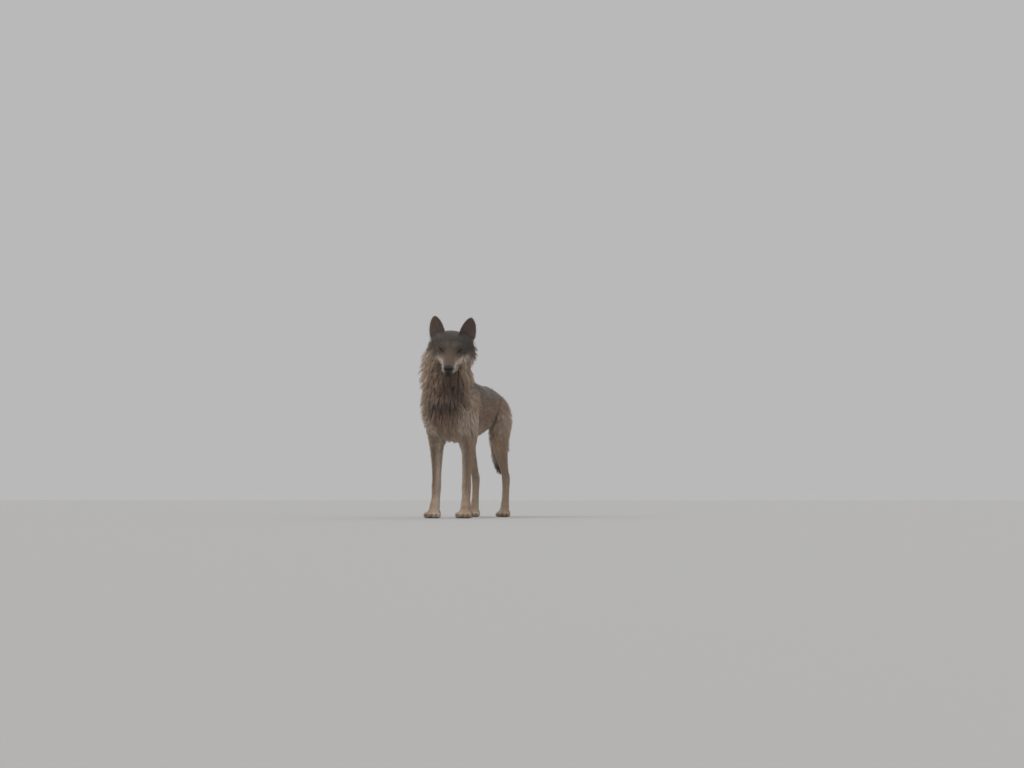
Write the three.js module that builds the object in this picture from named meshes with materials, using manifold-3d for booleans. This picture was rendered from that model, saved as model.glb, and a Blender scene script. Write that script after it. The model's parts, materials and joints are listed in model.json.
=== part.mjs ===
// A grey wolf that stands square, with its head raised and turned to its own left.
// Millimetres, +Z up, nose towards -Y, the wolf's left on +X, feet on z = 0.
// Every solid reaches to the tips of the winter coat.
import * as THREE from "three";
import { mergeVertices } from "three/addons/utils/BufferGeometryUtils.js";
import Module from "manifold-3d";

const wasm = await Module();
wasm.setup();

// ---- driving sizes -------------------------------------------------------
const GAP = 0.3; // clearance left between neighbouring solids
const FAR = 1500; // longer than anything on the animal, for cutting blocks
const HEAD_AT = new THREE.Vector3(88, -525, 864); // midpoint between the eyes
const HEAD_YAW = 17; // degrees the head is turned to the left
const HEAD_PITCH = 27; // degrees the muzzle points below level
const HEAD_ROLL = 3; // degrees the crown is tipped to the left
const EYE_RADIUS = 13;
const EYE_AT = new THREE.Vector3(38.5, -1.5, 2.5); // left eye in the head's own frame
const NOSE_AT = new THREE.Vector3(0, -138, -49);
const NOSE_SIZE = new THREE.Vector3(20, 14, 15); // half sizes of the nose pad
const MOUTH_Z = -77; // the mouth line, in the head's own frame
const MOUTH_CORNER_Y = -33;
const EAR_LENGTH = 106;
const EAR_HALF_WIDTH = 54;
const EAR_WALL = 9;
const EAR_ROOT = new THREE.Vector3(75, 100, 33); // middle of the left ear's base
const JAW_ROOM = 60; // half width and depth of the block that cuts the jaw from the head
const JAW_FLOOR = 150;
const LEG_INSET = 34; // how near the middle plane the leg cuts reach
const PAW_TOP = 76;
const ELBOW_Z = 392;
const KNEE_Z = 432;
const SECTION_POWER = 2.2; // above 2 the sections are a little fuller than ellipses

const rad = THREE.MathUtils.degToRad;
const point = (x, y, z) => new THREE.Vector3(x, y, z);

// ---- the body as a few long forms ----------------------------------------
// A form is a list of sections from its start to its end.
// side is the half width across, up and down the reach to either side of the centre.
// Along a leg or tail, up is its back; along the neck, up is the nape.
const section = (x, y, z, side, up, down) => ({
  at: point(x, y, z),
  reach: point(side, up, down),
});

const TRUNK = [
  section(0, -400, 590, 16, 24, 28), // breastbone
  section(0, -376, 592, 80, 88, 96),
  section(0, -322, 600, 119, 124, 166), // point of the shoulder
  section(0, -240, 608, 126, 148, 204), // withers over the deepest chest
  section(0, -120, 610, 124, 136, 201),
  section(0, 0, 612, 120, 122, 181), // last ribs
  section(0, 120, 618, 113, 113, 157), // loin
  section(0, 220, 622, 104, 107, 137),
  section(0, 310, 618, 93, 96, 122), // croup
  section(0, 380, 604, 81, 75, 104),
  section(0, 428, 588, 54, 54, 78), // buttocks
  section(0, 450, 575, 12, 14, 20),
];

const NECK = [
  section(54, -428, 872, 44, 40, 40),
  section(42, -418, 846, 120, 108, 100), // inside the ruff
  section(24, -392, 792, 138, 134, 122),
  section(12, -360, 738, 140, 136, 128),
  section(3, -318, 680, 134, 138, 128), // into the shoulders
  section(0, -276, 625, 120, 122, 120),
  section(0, -245, 580, 76, 76, 84),
];

const TAIL = [
  section(0, 372, 662, 30, 26, 30), // root
  section(0, 420, 654, 37, 34, 36),
  section(3, 464, 605, 46, 42, 44),
  section(7, 490, 525, 56, 50, 52),
  section(12, 499, 435, 60, 53, 54), // bushiest
  section(16, 500, 352, 50, 46, 46),
  section(18, 497, 290, 31, 29, 29),
  section(19, 494, 250, 7, 7, 7),
];

// Legs are given for the left side, from the top down.
const FORELEG = [
  section(52, -222, 700, 24, 30, 30), // top of the shoulder blade
  section(70, -246, 650, 54, 72, 70),
  section(84, -288, 560, 62, 80, 78), // point of the shoulder
  section(89, -268, 492, 53, 74, 66),
  section(90, -250, 430, 44, 57, 52), // elbow
  section(89, -252, 372, 37, 45, 41),
  section(86, -258, 290, 29, 34, 30), // forearm
  section(84, -264, 212, 25, 28, 25),
  section(84, -266, 172, 27, 29, 27), // wrist
  section(85, -272, 112, 24, 25, 24),
  section(86, -284, 66, 28, 27, 27),
  section(87, -294, 34, 25, 22, 22),
];

const HINDLEG = [
  section(60, 300, 660, 20, 36, 36), // point of the hip
  section(74, 302, 618, 48, 80, 84),
  section(88, 292, 555, 58, 95, 100), // thigh
  section(95, 268, 484, 51, 86, 76),
  section(97, 252, 426, 44, 74, 52), // knee
  section(95, 276, 370, 37, 60, 41),
  section(92, 322, 308, 29, 44, 31),
  section(90, 364, 254, 22, 33, 27), // tendon
  section(90, 386, 216, 24, 29, 26), // hock
  section(90, 385, 150, 21, 24, 22),
  section(90, 376, 88, 23, 24, 23),
  section(90, 366, 52, 25, 24, 24),
  section(90, 358, 32, 22, 20, 20),
];

// The head in its own frame: origin between the eyes, mouth line level.
const HEAD = [
  section(0, -141, -58, 14, 10, 13),
  section(0, -132, -58, 26, 23, 24), // lips below the nose
  section(0, -108, -55, 31, 29, 31),
  section(0, -78, -50, 35, 34, 38), // muzzle
  section(0, -48, -43, 40, 36, 46),
  section(0, -20, -34, 49, 43, 61), // stop
  section(0, 10, -24, 64, 54, 80), // brow
  section(0, 45, -24, 81, 71, 90), // forehead and cheeks
  section(0, 80, -30, 104, 88, 97),
  section(0, 112, -40, 127, 97, 102), // crown and widest ruff
  section(0, 144, -54, 122, 85, 92),
  section(0, 170, -64, 90, 56, 70),
  section(0, 188, -68, 26, 20, 24),
];

const JAW = [
  section(0, -128, -86, 10, 8, 8), // chin
  section(0, -117, -87, 20, 15, 15),
  section(0, -85, -87, 26, 18, 20),
  section(0, -42, -87, 34, 22, 26),
  section(0, 8, -86, 47, 30, 36), // corner of the mouth
  section(0, 55, -84, 60, 36, 42),
];

// Rounded swellings of the left half of the face: centre and half sizes.
const SWELLINGS = [
  { at: point(34, 6, 26), size: point(25, 17, 10) }, // brow
  { at: point(57, 24, -18), size: point(23, 40, 20) }, // cheekbone
  { at: point(18, -106, -65), size: point(18, 28, 20) }, // whisker pad
];
const EYE_OPENING = { at: point(43, -16, 2), size: point(17, 13, 9) };

// Paws, left side: the middle of the main pad on the floor, and how large.
const FOREPAW = { at: point(87, -290, 0), scale: 1 };
const HINDPAW = { at: point(90, 362, 0), scale: 0.92 };
const PAD = { at: point(0, -5, 22), size: point(37, 42, 30) };
const TOES = [-31, -14, 14, 31].map((x) => ({
  at: point(x, Math.abs(x) > 20 ? -29 : -48, 16),
  size: point(16, 29, 19),
}));
const CLAW = { length: 20, radius: 4.5, reach: 27, drop: 35 }; // drop: degrees below level

// ---- the outline of the whole coat, as a distance field ---------------------
// Samples a form closely and gives each sample its own axes.
function formOf(sections, across = point(1, 0, 0)) {
  const [line, reach] = ["at", "reach"].map(
    (key) => new THREE.CatmullRomCurve3(sections.map((s) => s[key]), false, "catmullrom"),
  );
  const count = (sections.length - 1) * 3;
  const samples = Array.from({ length: count + 1 }, (_, i) => {
    const forward = line.getTangent(i / count);
    const up = new THREE.Vector3().crossVectors(across, forward).normalize();
    const side = new THREE.Vector3().crossVectors(forward, up);
    return { at: line.getPoint(i / count), reach: reach.getPoint(i / count), up, side };
  });
  const widest = Math.max(...sections.map((s) => Math.max(...s.reach.toArray())));
  const box = new THREE.Box3().setFromPoints(samples.map((s) => s.at)).expandByScalar(widest);
  return { samples, box };
}

// How far a point lies outside a form, measured along the line to its spine.
function formDistance({ samples, box }, p) {
  const away = box.distanceToPoint(p);
  if (away > 80) return away;
  let nearest = Infinity;
  for (let i = 0; i + 1 < samples.length; i++) {
    const a = samples[i];
    const b = samples[i + 1];
    const span = b.at.clone().sub(a.at);
    const off = p.clone().sub(a.at);
    const share = THREE.MathUtils.clamp(off.dot(span) / span.lengthSq(), 0, 1);
    off.addScaledVector(span, -share);
    const reach = a.reach.clone().lerp(b.reach, share);
    const across = off.dot(a.side.clone().lerp(b.side, share));
    const above = off.dot(a.up.clone().lerp(b.up, share));
    const height = above > 0 ? reach.y : reach.z;
    const past = off.dot(span.normalize());
    const ratio =
      (Math.abs(across) / reach.x) ** SECTION_POWER +
      (Math.abs(above) / height) ** SECTION_POWER +
      (Math.abs(past) / Math.min(reach.x, height)) ** SECTION_POWER;
    const scale = ratio ** (1 / SECTION_POWER);
    const distance = scale > 1e-6 ? off.length() * (1 - 1 / scale) : -height;
    nearest = Math.min(nearest, distance);
  }
  return nearest;
}

const ballDistance = ({ at, size }, p) =>
  (p.clone().sub(at).divide(size).length() - 1) * Math.min(...size.toArray());

// The lower of two distances, rounded over where they are within blend of each other.
function joined(a, b, blend) {
  const near = Math.max(blend - Math.abs(a - b), 0) / blend;
  return Math.min(a, b) - (near * near * blend) / 4;
}

const headFrame = new THREE.Matrix4().compose(
  HEAD_AT,
  new THREE.Quaternion().setFromEuler(
    new THREE.Euler(rad(HEAD_PITCH), rad(HEAD_ROLL), rad(HEAD_YAW), "ZYX"),
  ),
  point(1, 1, 1),
);
const onHead = (p) => p.clone().applyMatrix4(headFrame);
const toHead = headFrame.clone().invert();

const forms = {
  trunk: formOf(TRUNK),
  neck: formOf(NECK, point(1, 0, 0).applyAxisAngle(point(0, 0, 1), rad(HEAD_YAW / 2))),
  tail: formOf(TAIL),
  head: formOf(HEAD),
  jaw: formOf(JAW),
  fore: formOf(FORELEG),
  hind: formOf(HINDLEG),
};

function headDistance(world) {
  const p = world.clone().applyMatrix4(toHead);
  if (p.length() > 330) return p.length() - 250;
  let d = joined(formDistance(forms.head, p), formDistance(forms.jaw, p), 10);
  p.x = Math.abs(p.x);
  for (const swelling of SWELLINGS) d = joined(d, ballDistance(swelling, p), 14);
  return d;
}

function pawDistance({ at, scale }, world) {
  const p = world.clone().sub(at).divideScalar(scale);
  let d = ballDistance(PAD, p);
  for (const toe of TOES) d = joined(d, ballDistance(toe, p), 7);
  return d * scale;
}

// The legs are mirror images, so one side stands for both.
function legsDistance(world) {
  const p = world.clone().setX(Math.abs(world.x));
  const fore = joined(formDistance(forms.fore, p), pawDistance(FOREPAW, p), 16);
  const hind = joined(formDistance(forms.hind, p), pawDistance(HINDPAW, p), 16);
  return Math.min(fore, hind);
}

function wolfDistance(p) {
  let d = joined(formDistance(forms.trunk, p), formDistance(forms.neck, p), 60);
  d = joined(d, headDistance(p), 30);
  return joined(d, legsDistance(p), 36);
}
const tailDistance = (p) => formDistance(forms.tail, p);

// ---- solids made of rings ----------------------------------------------------
function solidOf(geometry) {
  const bare = geometry.index ? geometry.toNonIndexed() : geometry.clone();
  bare.deleteAttribute("normal");
  bare.deleteAttribute("uv");
  const merged = mergeVertices(bare, 1e-3);
  return new wasm.Manifold(
    new wasm.Mesh({
      numProp: 3,
      vertProperties: merged.attributes.position.array,
      triVerts: new Uint32Array(merged.index.array),
    }),
  );
}

// Closes a list of rings, each a list of points, into a body with flat ends.
function ringBody(rings) {
  const around = rings[0].length;
  const end = (rings.length - 1) * around;
  const faces = [];
  for (let j = 0; j < around; j++) {
    const k = (j + 1) % around;
    for (let a = 0; a < end; a += around) {
      const b = a + around;
      faces.push(a + j, b + j, a + k, a + k, b + j, b + k);
    }
  }
  // Each end is a strip between the two halves of its ring, so it also closes a crescent.
  for (let j = 0; j < around / 2 - 1; j++) {
    const [a, b, c, d] = [j, j + 1, around - 2 - j, around - 1 - j];
    faces.push(a, b, c, a, c, d, end + a, end + c, end + b, end + a, end + d, end + c);
  }
  const geometry = new THREE.BufferGeometry().setFromPoints(rings.flat());
  geometry.setIndex(faces);
  return solidOf(geometry);
}

// Walks out from a centre to where a ray leaves the coat, but never further than most.
function rim(centre, ray, distance, most) {
  const depth = (r) => distance(centre.clone().addScaledVector(ray, r));
  let inside = 0;
  let outside = 0;
  while (outside < most && depth(outside) <= 0) {
    inside = outside;
    outside = Math.min(outside + Math.max(-0.6 * depth(outside), 3), most);
  }
  for (let i = 0; i < 9; i++) {
    const middle = (inside + outside) / 2;
    if (depth(middle) > 0) outside = middle;
    else inside = middle;
  }
  return outside;
}

// A ring in one plane, cast from its centre out to the coat.
function castRing({ at, side, up }, around, distance, most, grow = 0) {
  return Array.from({ length: around }, (_, j) => {
    const angle = (2 * Math.PI * j) / around;
    const ray = side.clone().multiplyScalar(Math.cos(angle)).addScaledVector(up, Math.sin(angle));
    return at.clone().addScaledVector(ray, rim(at, ray, distance, most) + grow);
  });
}

// ---- cutting planes from the nose to the rump ----------------------------------
// Each crosses the body at a centre. Its axis runs towards the tail, tilted and turned.
const plane = (at, tilt, turn) => ({ at, lean: point(tilt, turn, 0) });
const facePlane = (y, z, tilt) => plane(onHead(point(0, y, z)), tilt, HEAD_YAW);

const HEAD_PLANES = [
  facePlane(-150, -58, HEAD_PITCH),
  facePlane(-142, -58, HEAD_PITCH),
  facePlane(-129, -60, HEAD_PITCH),
  facePlane(-102, -59, HEAD_PITCH),
  facePlane(-72, -54, HEAD_PITCH),
  facePlane(-44, -46, HEAD_PITCH),
  facePlane(-20, -36, 17),
  facePlane(8, -26, 7),
  facePlane(50, -16, -7),
  facePlane(100, -16, -23),
  plane(point(50, -425, 848), -36, 15),
];
const NECK_PLANES = [
  HEAD_PLANES.at(-1),
  plane(point(32, -388, 785), -58, 10),
  plane(point(20, -362, 735), -58, 7),
  plane(point(9, -330, 690), -47, 4),
];
const TRUNK_PLANES = [
  NECK_PLANES.at(-1),
  plane(point(4, -275, 640), -32, 1),
  plane(point(0, -200, 614), -16, 0),
  plane(point(0, -120, 610), 0, 0),
  plane(point(0, 0, 606), 0, 0),
  plane(point(0, 120, 610), 0, 0),
  plane(point(0, 220, 614), 0, 0),
  plane(point(0, 310, 614), 0, 0),
  plane(point(0, 380, 600), 0, 0),
  plane(point(0, 428, 586), 0, 0),
  plane(point(0, 452, 574), 0, 0),
];

function frameOf(at, { x: tilt, y: turn }) {
  const level = point(-Math.sin(rad(turn)), Math.cos(rad(turn)), 0);
  const axis = level.multiplyScalar(Math.cos(rad(tilt))).setZ(Math.sin(rad(tilt)));
  const side = point(Math.cos(rad(turn)), Math.sin(rad(turn)), 0);
  return { at, side, up: new THREE.Vector3().crossVectors(side, axis), axis };
}

// Fills in planes between the given ones.
function ringFrames(planes, steps) {
  const line = new THREE.CatmullRomCurve3(planes.map((p) => p.at), false, "catmullrom");
  const lean = new THREE.CatmullRomCurve3(planes.map((p) => p.lean), false, "catmullrom");
  const count = (planes.length - 1) * steps;
  return Array.from({ length: count + 1 }, (_, i) =>
    frameOf(line.getPoint(i / count), lean.getPoint(i / count)),
  );
}

// Cuts a solid at a plane, half a gap clear of it: way 1 keeps the tail's side, -1 the nose's.
function trimmed(solid, { at, lean }, way) {
  const axis = frameOf(at, lean).axis.multiplyScalar(way);
  return solid.trimByPlane(axis.toArray(), axis.dot(at) + GAP / 2);
}

// Level rings down a leg between two heights, centred on its spine.
// A crowd above 1 draws the rings together towards the bottom.
function legFrames({ samples }, top, bottom, count, crowd = 1) {
  const curve = samples.map((s) => s.at);
  return Array.from({ length: count }, (_, n) => {
    const z = bottom + (top - bottom) * (1 - n / (count - 1)) ** crowd;
    const below = Math.max(curve.findIndex((p) => p.z <= z), 1);
    const [a, b] = z < curve.at(-1).z ? [curve.at(-1), curve.at(-1)] : [curve[below - 1], curve[below]];
    const share = a === b ? 0 : (a.z - z) / (a.z - b.z);
    return { at: a.clone().lerp(b, share).setZ(z), side: point(1, 0, 0), up: point(0, 1, 0) };
  });
}

const cast = (frames, around, distance, most, grow = 0) =>
  ringBody(frames.map((frame) => castRing(frame, around, distance, most, grow)));

// ---- ears ------------------------------------------------------------------------
// A leaf cupped round its own long axis, thin at the rim, that opens forward and out.
function earSolid(side, grow = 0) {
  const rows = 10;
  const columns = 6;
  const rings = [];
  for (let i = 0; i <= rows; i++) {
    const v = -0.2 + (1.2 * i) / rows;
    const up = Math.max(v, 0);
    const taper = Math.min(1, 1 + v) * Math.max(1 - up ** 2.2, 0.003) ** 0.64;
    const width = EAR_HALF_WIDTH * taper;
    const cup = 0.62 * width * (1 - 0.72 * up);
    const wall = EAR_WALL * (1 - 0.5 * up) * Math.min(1, 4 * (1 - up) + 0.2) + 3 * grow;
    const rim = [];
    for (let j = 0; j < 2 * columns; j++) {
      const front = j >= columns;
      const u = front ? 3 - (2 * j + 1) / columns : (2 * j + 1) / columns - 1;
      const bow = cup * (1 - u * u);
      const thick = wall * (front ? -0.5 : 0.5) * (0.3 + 0.7 * Math.sqrt(1 - u * u));
      const past = i === rows ? grow : i === 0 ? -grow : 0;
      rim.push(point(-side * u * (width + grow), bow + thick, EAR_LENGTH * v + past));
    }
    rings.push(side > 0 ? rim.reverse() : rim);
  }
  const turn = new THREE.Matrix4()
    .makeRotationZ(rad(side * 28))
    .premultiply(new THREE.Matrix4().makeRotationX(rad(12 - HEAD_PITCH)))
    .premultiply(new THREE.Matrix4().makeRotationY(rad(side * 11)))
    .setPosition(side * EAR_ROOT.x, EAR_ROOT.y, EAR_ROOT.z);
  return ringBody(rings.map((rim) => rim.map((p) => onHead(p.applyMatrix4(turn)))));
}

// ---- simple bodies and cutting blocks ----------------------------------------------
function ball({ at, size }, frame, segments, grow = 0) {
  const geometry = new THREE.SphereGeometry(1, segments, segments / 2);
  geometry.rotateX(Math.PI / 2);
  geometry.scale(size.x + grow, size.y + grow, size.z + grow);
  geometry.translate(at.x, at.y, at.z);
  return solidOf(geometry.applyMatrix4(frame));
}

function block(from, to, frame = new THREE.Matrix4()) {
  const size = to.clone().sub(from);
  const middle = from.clone().add(to).divideScalar(2);
  const geometry = new THREE.BoxGeometry(size.x, size.y, size.z);
  geometry.translate(middle.x, middle.y, middle.z);
  return solidOf(geometry.applyMatrix4(frame));
}

// The four claws of a paw, each a short spike at the end of its toe.
const claws = ({ at, scale }) =>
  TOES.map((toe) => {
    const geometry = new THREE.ConeGeometry(CLAW.radius, CLAW.length, 5);
    geometry.rotateX(rad(CLAW.drop) - Math.PI);
    geometry.translate(toe.at.x, toe.at.y - CLAW.reach, toe.at.z - 2);
    geometry.scale(scale, scale, scale);
    geometry.translate(at.x, at.y, at.z);
    return solidOf(geometry);
  });

// The zone that belongs to one upper leg: a tilted oval on the flank and the leg below it.
function legZone({ y, z, length, height, tilt, front, back, top }, side, grow = 0) {
  const oval = new THREE.CylinderGeometry(1, 1, FAR, 24);
  oval.rotateZ(Math.PI / 2);
  oval.scale(1, length + grow, height + grow);
  oval.rotateX(rad(tilt));
  oval.translate(side * (FAR / 2 + LEG_INSET - grow), y, z);
  const below = block(
    point(0, front - grow, -FAR),
    point(FAR, back + grow, top + grow),
    new THREE.Matrix4().makeTranslation(side > 0 ? LEG_INSET - grow : grow - LEG_INSET - FAR, 0, 0),
  );
  return wasm.Manifold.union(solidOf(oval), below);
}
const SHOULDER = { y: -262, z: 586, length: 78, height: 134, tilt: -18, front: -312, back: -192, top: 500 };
const THIGH = { y: 300, z: 575, length: 116, height: 118, tilt: 0, front: 140, back: 500, top: 500 };

// ---- nodes -----------------------------------------------------------------------
const group = new THREE.Group();
const coat = (color) => new THREE.MeshStandardMaterial({ color, roughness: 0.95, metalness: 0 });
const COAT = { grey: 0x6d6257, dark: 0x4a423b, tan: 0x806b58, pale: 0x8f8477 };
const AMBER = new THREE.MeshStandardMaterial({ color: 0x6b4a1e, roughness: 0.15, metalness: 0 });
const NOSE_SKIN = new THREE.MeshStandardMaterial({ color: 0x1d1815, roughness: 0.5, metalness: 0 });

function node(name, solid, material) {
  const mesh = solid.getMesh();
  const points = new Float32Array(mesh.numVert * 3);
  for (let i = 0; i < mesh.numVert; i++) {
    const from = i * mesh.numProp;
    points.set(mesh.vertProperties.subarray(from, from + 3), i * 3);
  }
  const geometry = new THREE.BufferGeometry();
  geometry.setAttribute("position", new THREE.BufferAttribute(points, 3));
  geometry.setIndex(new THREE.BufferAttribute(mesh.triVerts, 1));
  const made = new THREE.Mesh(geometry.toNonIndexed(), material);
  made.geometry.computeVertexNormals();
  made.name = name;
  group.add(made);
}

const [NAPE, WITHERS] = [NECK_PLANES.at(0), NECK_PLANES.at(-1)];
let head = trimmed(cast(ringFrames(HEAD_PLANES, 2), 26, wolfDistance, 175), NAPE, -1);
let neck = trimmed(cast(ringFrames(NECK_PLANES, 2), 24, wolfDistance, 190), NAPE, 1);
neck = trimmed(neck, WITHERS, -1);
let trunk = trimmed(cast(ringFrames(TRUNK_PLANES, 2), 22, wolfDistance, 210), WITHERS, 1);
const tailFrames = forms.tail.samples.filter((_, i) => i % 2 === 0 || i > 19);
node("tail", cast(tailFrames, 12, tailDistance, 90), coat(COAT.grey));
trunk = trunk.subtract(cast(tailFrames, 12, tailDistance, 90, GAP));

for (const [side, name] of [[1, "left"], [-1, "right"]]) {
  const ear = earSolid(side);
  node("ear_" + name, ear, coat(COAT.dark));
  head = head.subtract(earSolid(side, 2 * GAP));

  const round = point(EYE_RADIUS, EYE_RADIUS, EYE_RADIUS);
  const eye = { at: EYE_AT.clone().setX(side * EYE_AT.x), size: round };
  node("eye_" + name, ball(eye, headFrame, 12), AMBER);
  head = head.subtract(ball(eye, headFrame, 12, GAP));
  const opening = { at: EYE_OPENING.at.clone().setX(side * EYE_OPENING.at.x), size: EYE_OPENING.size };
  head = head.subtract(ball(opening, headFrame, 12));

  for (const [upper, lower, paw, form, zone, pad, split, top] of [
    ["shoulder_", "foreleg_", "forepaw_", forms.fore, SHOULDER, FOREPAW, ELBOW_Z, 722],
    ["thigh_", "hindleg_", "hindpaw_", forms.hind, THIGH, HINDPAW, KNEE_Z, 694],
  ]) {
    const flip = ({ at, ...axes }) => ({ at: at.clone().setX(side * at.x), ...axes });
    const leg = (from, to, count, crowd, around, most) =>
      cast(legFrames(form, from, to, count, crowd).map(flip), around, wolfDistance, most);
    const upperLeg = leg(top, split + GAP / 2, 11, 1.6, 16, 165).intersect(legZone(zone, side));
    node(upper + name, upperLeg, coat(COAT.tan));
    node(lower + name, leg(split - GAP / 2, PAW_TOP + GAP, 8, 1, 12, 90), coat(COAT.tan));
    const pawLevels = [PAW_TOP, 60, 46, 34, 24, 15, 7, 0].map((z) => ({
      at: pad.at.clone().add(point(0, (z - PAW_TOP) * 0.1, z)),
      side: point(1, 0, 0),
      up: point(0, 1, 0),
    }));
    const flipped = { at: pad.at.clone().setX(side * pad.at.x), scale: pad.scale };
    const foot = [cast(pawLevels.map(flip), 20, wolfDistance, 90), ...claws(flipped)];
    node(paw + name, wasm.Manifold.union(foot), coat(COAT.pale));
    trunk = trunk.subtract(legZone(zone, side, GAP));
    neck = neck.subtract(legZone(zone, side, GAP));
  }
}

const nose = { at: NOSE_AT, size: NOSE_SIZE };
node("nose", ball(nose, headFrame, 12), NOSE_SKIN);
head = head.subtract(ball(nose, headFrame, 12, GAP));
const underMouth = (grow) =>
  block(
    point(-JAW_ROOM - grow, -FAR, -JAW_FLOOR - grow),
    point(JAW_ROOM + grow, MOUTH_CORNER_Y + grow, MOUTH_Z + grow),
    headFrame,
  );
node("jaw", head.intersect(underMouth(-GAP)), coat(COAT.pale));
node("head", head.subtract(underMouth(0)), coat(COAT.grey));
node("neck", neck, coat(COAT.grey));
node("trunk", trunk, coat(COAT.grey));

// The origin is under the middle of the whole animal, on the floor.
const middle = new THREE.Box3().setFromObject(group).getCenter(point(0, 0, 0));
group.position.set(-middle.x, -middle.y, 0);

export default group;
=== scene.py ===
# %% [markdown]
# # A grey wolf, standing
#
# This lesson dresses a life-size wolf. Its body is already there as plain solids, the frame,
# which says where everything is. Around them you build what shows: one skin, a winter coat of
# solid tufts, the eyes, the nose pad, the claws and the whiskers. The frame is loaded first and
# never moved.

# %% Load the frame
import json
import math
from itertools import pairwise

import bmesh
import bpy
import numpy as np
from mathutils import Euler, Matrix, Vector
from mathutils.kdtree import KDTree

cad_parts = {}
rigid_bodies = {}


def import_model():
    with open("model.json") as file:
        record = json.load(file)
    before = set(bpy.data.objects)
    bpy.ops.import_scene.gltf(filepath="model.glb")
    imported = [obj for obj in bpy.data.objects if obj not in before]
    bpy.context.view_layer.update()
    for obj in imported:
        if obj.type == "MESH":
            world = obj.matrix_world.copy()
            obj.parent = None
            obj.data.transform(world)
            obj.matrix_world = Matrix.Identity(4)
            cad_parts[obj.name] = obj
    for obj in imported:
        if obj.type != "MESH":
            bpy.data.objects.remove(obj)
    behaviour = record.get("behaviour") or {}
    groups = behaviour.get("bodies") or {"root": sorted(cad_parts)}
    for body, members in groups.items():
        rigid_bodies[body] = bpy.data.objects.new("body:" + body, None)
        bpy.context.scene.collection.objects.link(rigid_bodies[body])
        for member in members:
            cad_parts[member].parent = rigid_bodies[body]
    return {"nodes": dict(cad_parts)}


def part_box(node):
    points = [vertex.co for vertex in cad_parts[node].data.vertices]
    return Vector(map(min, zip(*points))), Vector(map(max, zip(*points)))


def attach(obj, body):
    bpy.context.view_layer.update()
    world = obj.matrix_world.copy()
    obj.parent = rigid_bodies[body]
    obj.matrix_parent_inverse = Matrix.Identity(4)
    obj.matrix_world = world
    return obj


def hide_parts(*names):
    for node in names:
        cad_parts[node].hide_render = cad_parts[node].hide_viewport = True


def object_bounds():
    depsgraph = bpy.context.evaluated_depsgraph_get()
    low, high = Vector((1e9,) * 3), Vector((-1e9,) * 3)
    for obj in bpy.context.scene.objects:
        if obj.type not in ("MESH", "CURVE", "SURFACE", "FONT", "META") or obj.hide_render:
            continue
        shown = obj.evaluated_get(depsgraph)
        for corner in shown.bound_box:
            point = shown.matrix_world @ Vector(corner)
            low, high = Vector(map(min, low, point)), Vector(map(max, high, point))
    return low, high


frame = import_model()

frame_box = [list(corner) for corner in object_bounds()]
flesh = [name for name in frame["nodes"] if not name.startswith(("eye_", "nose"))]
print("frame:", len(frame["nodes"]), "nodes, of which", len(flesh), "are flesh")

# %% [markdown]
# ## Two systems of places
#
# The body is described in millimetres from a point under its chest, and the face from a point
# between the eyes, with the mouth line level. You could type where those points are in the
# scene, but the frame knows better: the two eyeballs fix both of them.

# %% Find the body's and the head's own places
MM = 0.001
HEAD_AT = np.array((88.0, -525.0, 864.0))  # the head's own start, in body millimetres
HEAD_ANGLES = (27, 3, 17)  # degrees: muzzle below level, crown tipped, head turned to its left
EYE = np.array((38.5, -1.5, 2.5))  # middle of the left eyeball, in the head's own millimetres
EYE_RADIUS = 13.0

head_turn = np.array(Euler([math.radians(a) for a in HEAD_ANGLES]).to_matrix())


def middle_of(node):
    """The middle of a node's box, in metres."""
    low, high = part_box(node)
    return (np.array(low) + np.array(high)) / 2


between_eyes = (middle_of("eye_left") + middle_of("eye_right")) / 2
body_start = between_eyes - (HEAD_AT + head_turn @ (EYE * (0, 1, 1))) * MM


def to_scene(points):
    """Body millimetres to scene metres."""
    return np.asarray(points) * MM + body_start


def to_head(points):
    """Body millimetres to the head's own millimetres."""
    return (np.asarray(points) - HEAD_AT) @ head_turn


def from_head(points):
    """The head's own millimetres to body millimetres."""
    return np.asarray(points) @ head_turn.T + HEAD_AT


def fold(points):
    """The same places on the left side: both halves of an animal are described once."""
    return np.abs(points * (1, 0, 0)) + points * (0, 1, 1)


print("body starts at", np.round(body_start, 4))

# %% [markdown]
# ## Camera
#
# The camera stands low on the floor, eight metres away and a little to one side, so that the
# wolf looks down at it. It is set before anything else, because every later choice of detail
# depends on how large a thing shows.

# %% Set the camera
CAMERA_AWAY = 8.0
CAMERA_AZIMUTH = math.radians(20)
CAMERA_HEIGHT = 0.1
AIM_ACROSS = 0.218  # metres from the body's start to the point looked at, across the view
AIM_HEIGHT = 0.689

head_place = to_scene(HEAD_AT)
toward = np.array((math.sin(CAMERA_AZIMUTH), -math.cos(CAMERA_AZIMUTH), 0.0))
across = np.array((math.cos(CAMERA_AZIMUTH), math.sin(CAMERA_AZIMUTH), 0.0))
eye_point = head_place + toward * CAMERA_AWAY
eye_point[2] = CAMERA_HEIGHT
aim = head_place + across * (AIM_ACROSS - (head_place - body_start) @ across)
aim[2] = AIM_HEIGHT

camera_data = bpy.data.cameras.new("camera")
camera_data.sensor_width = 36
camera_data.lens = 55
camera_data.clip_end = 200
camera = bpy.data.objects.new("camera", camera_data)
camera.location = eye_point
camera.rotation_euler = Vector(aim - eye_point).to_track_quat("-Z", "Y").to_euler()
bpy.context.scene.collection.objects.link(camera)
bpy.context.scene.camera = camera
print("camera at", np.round(eye_point, 3), "looks at", np.round(aim, 3))

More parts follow.
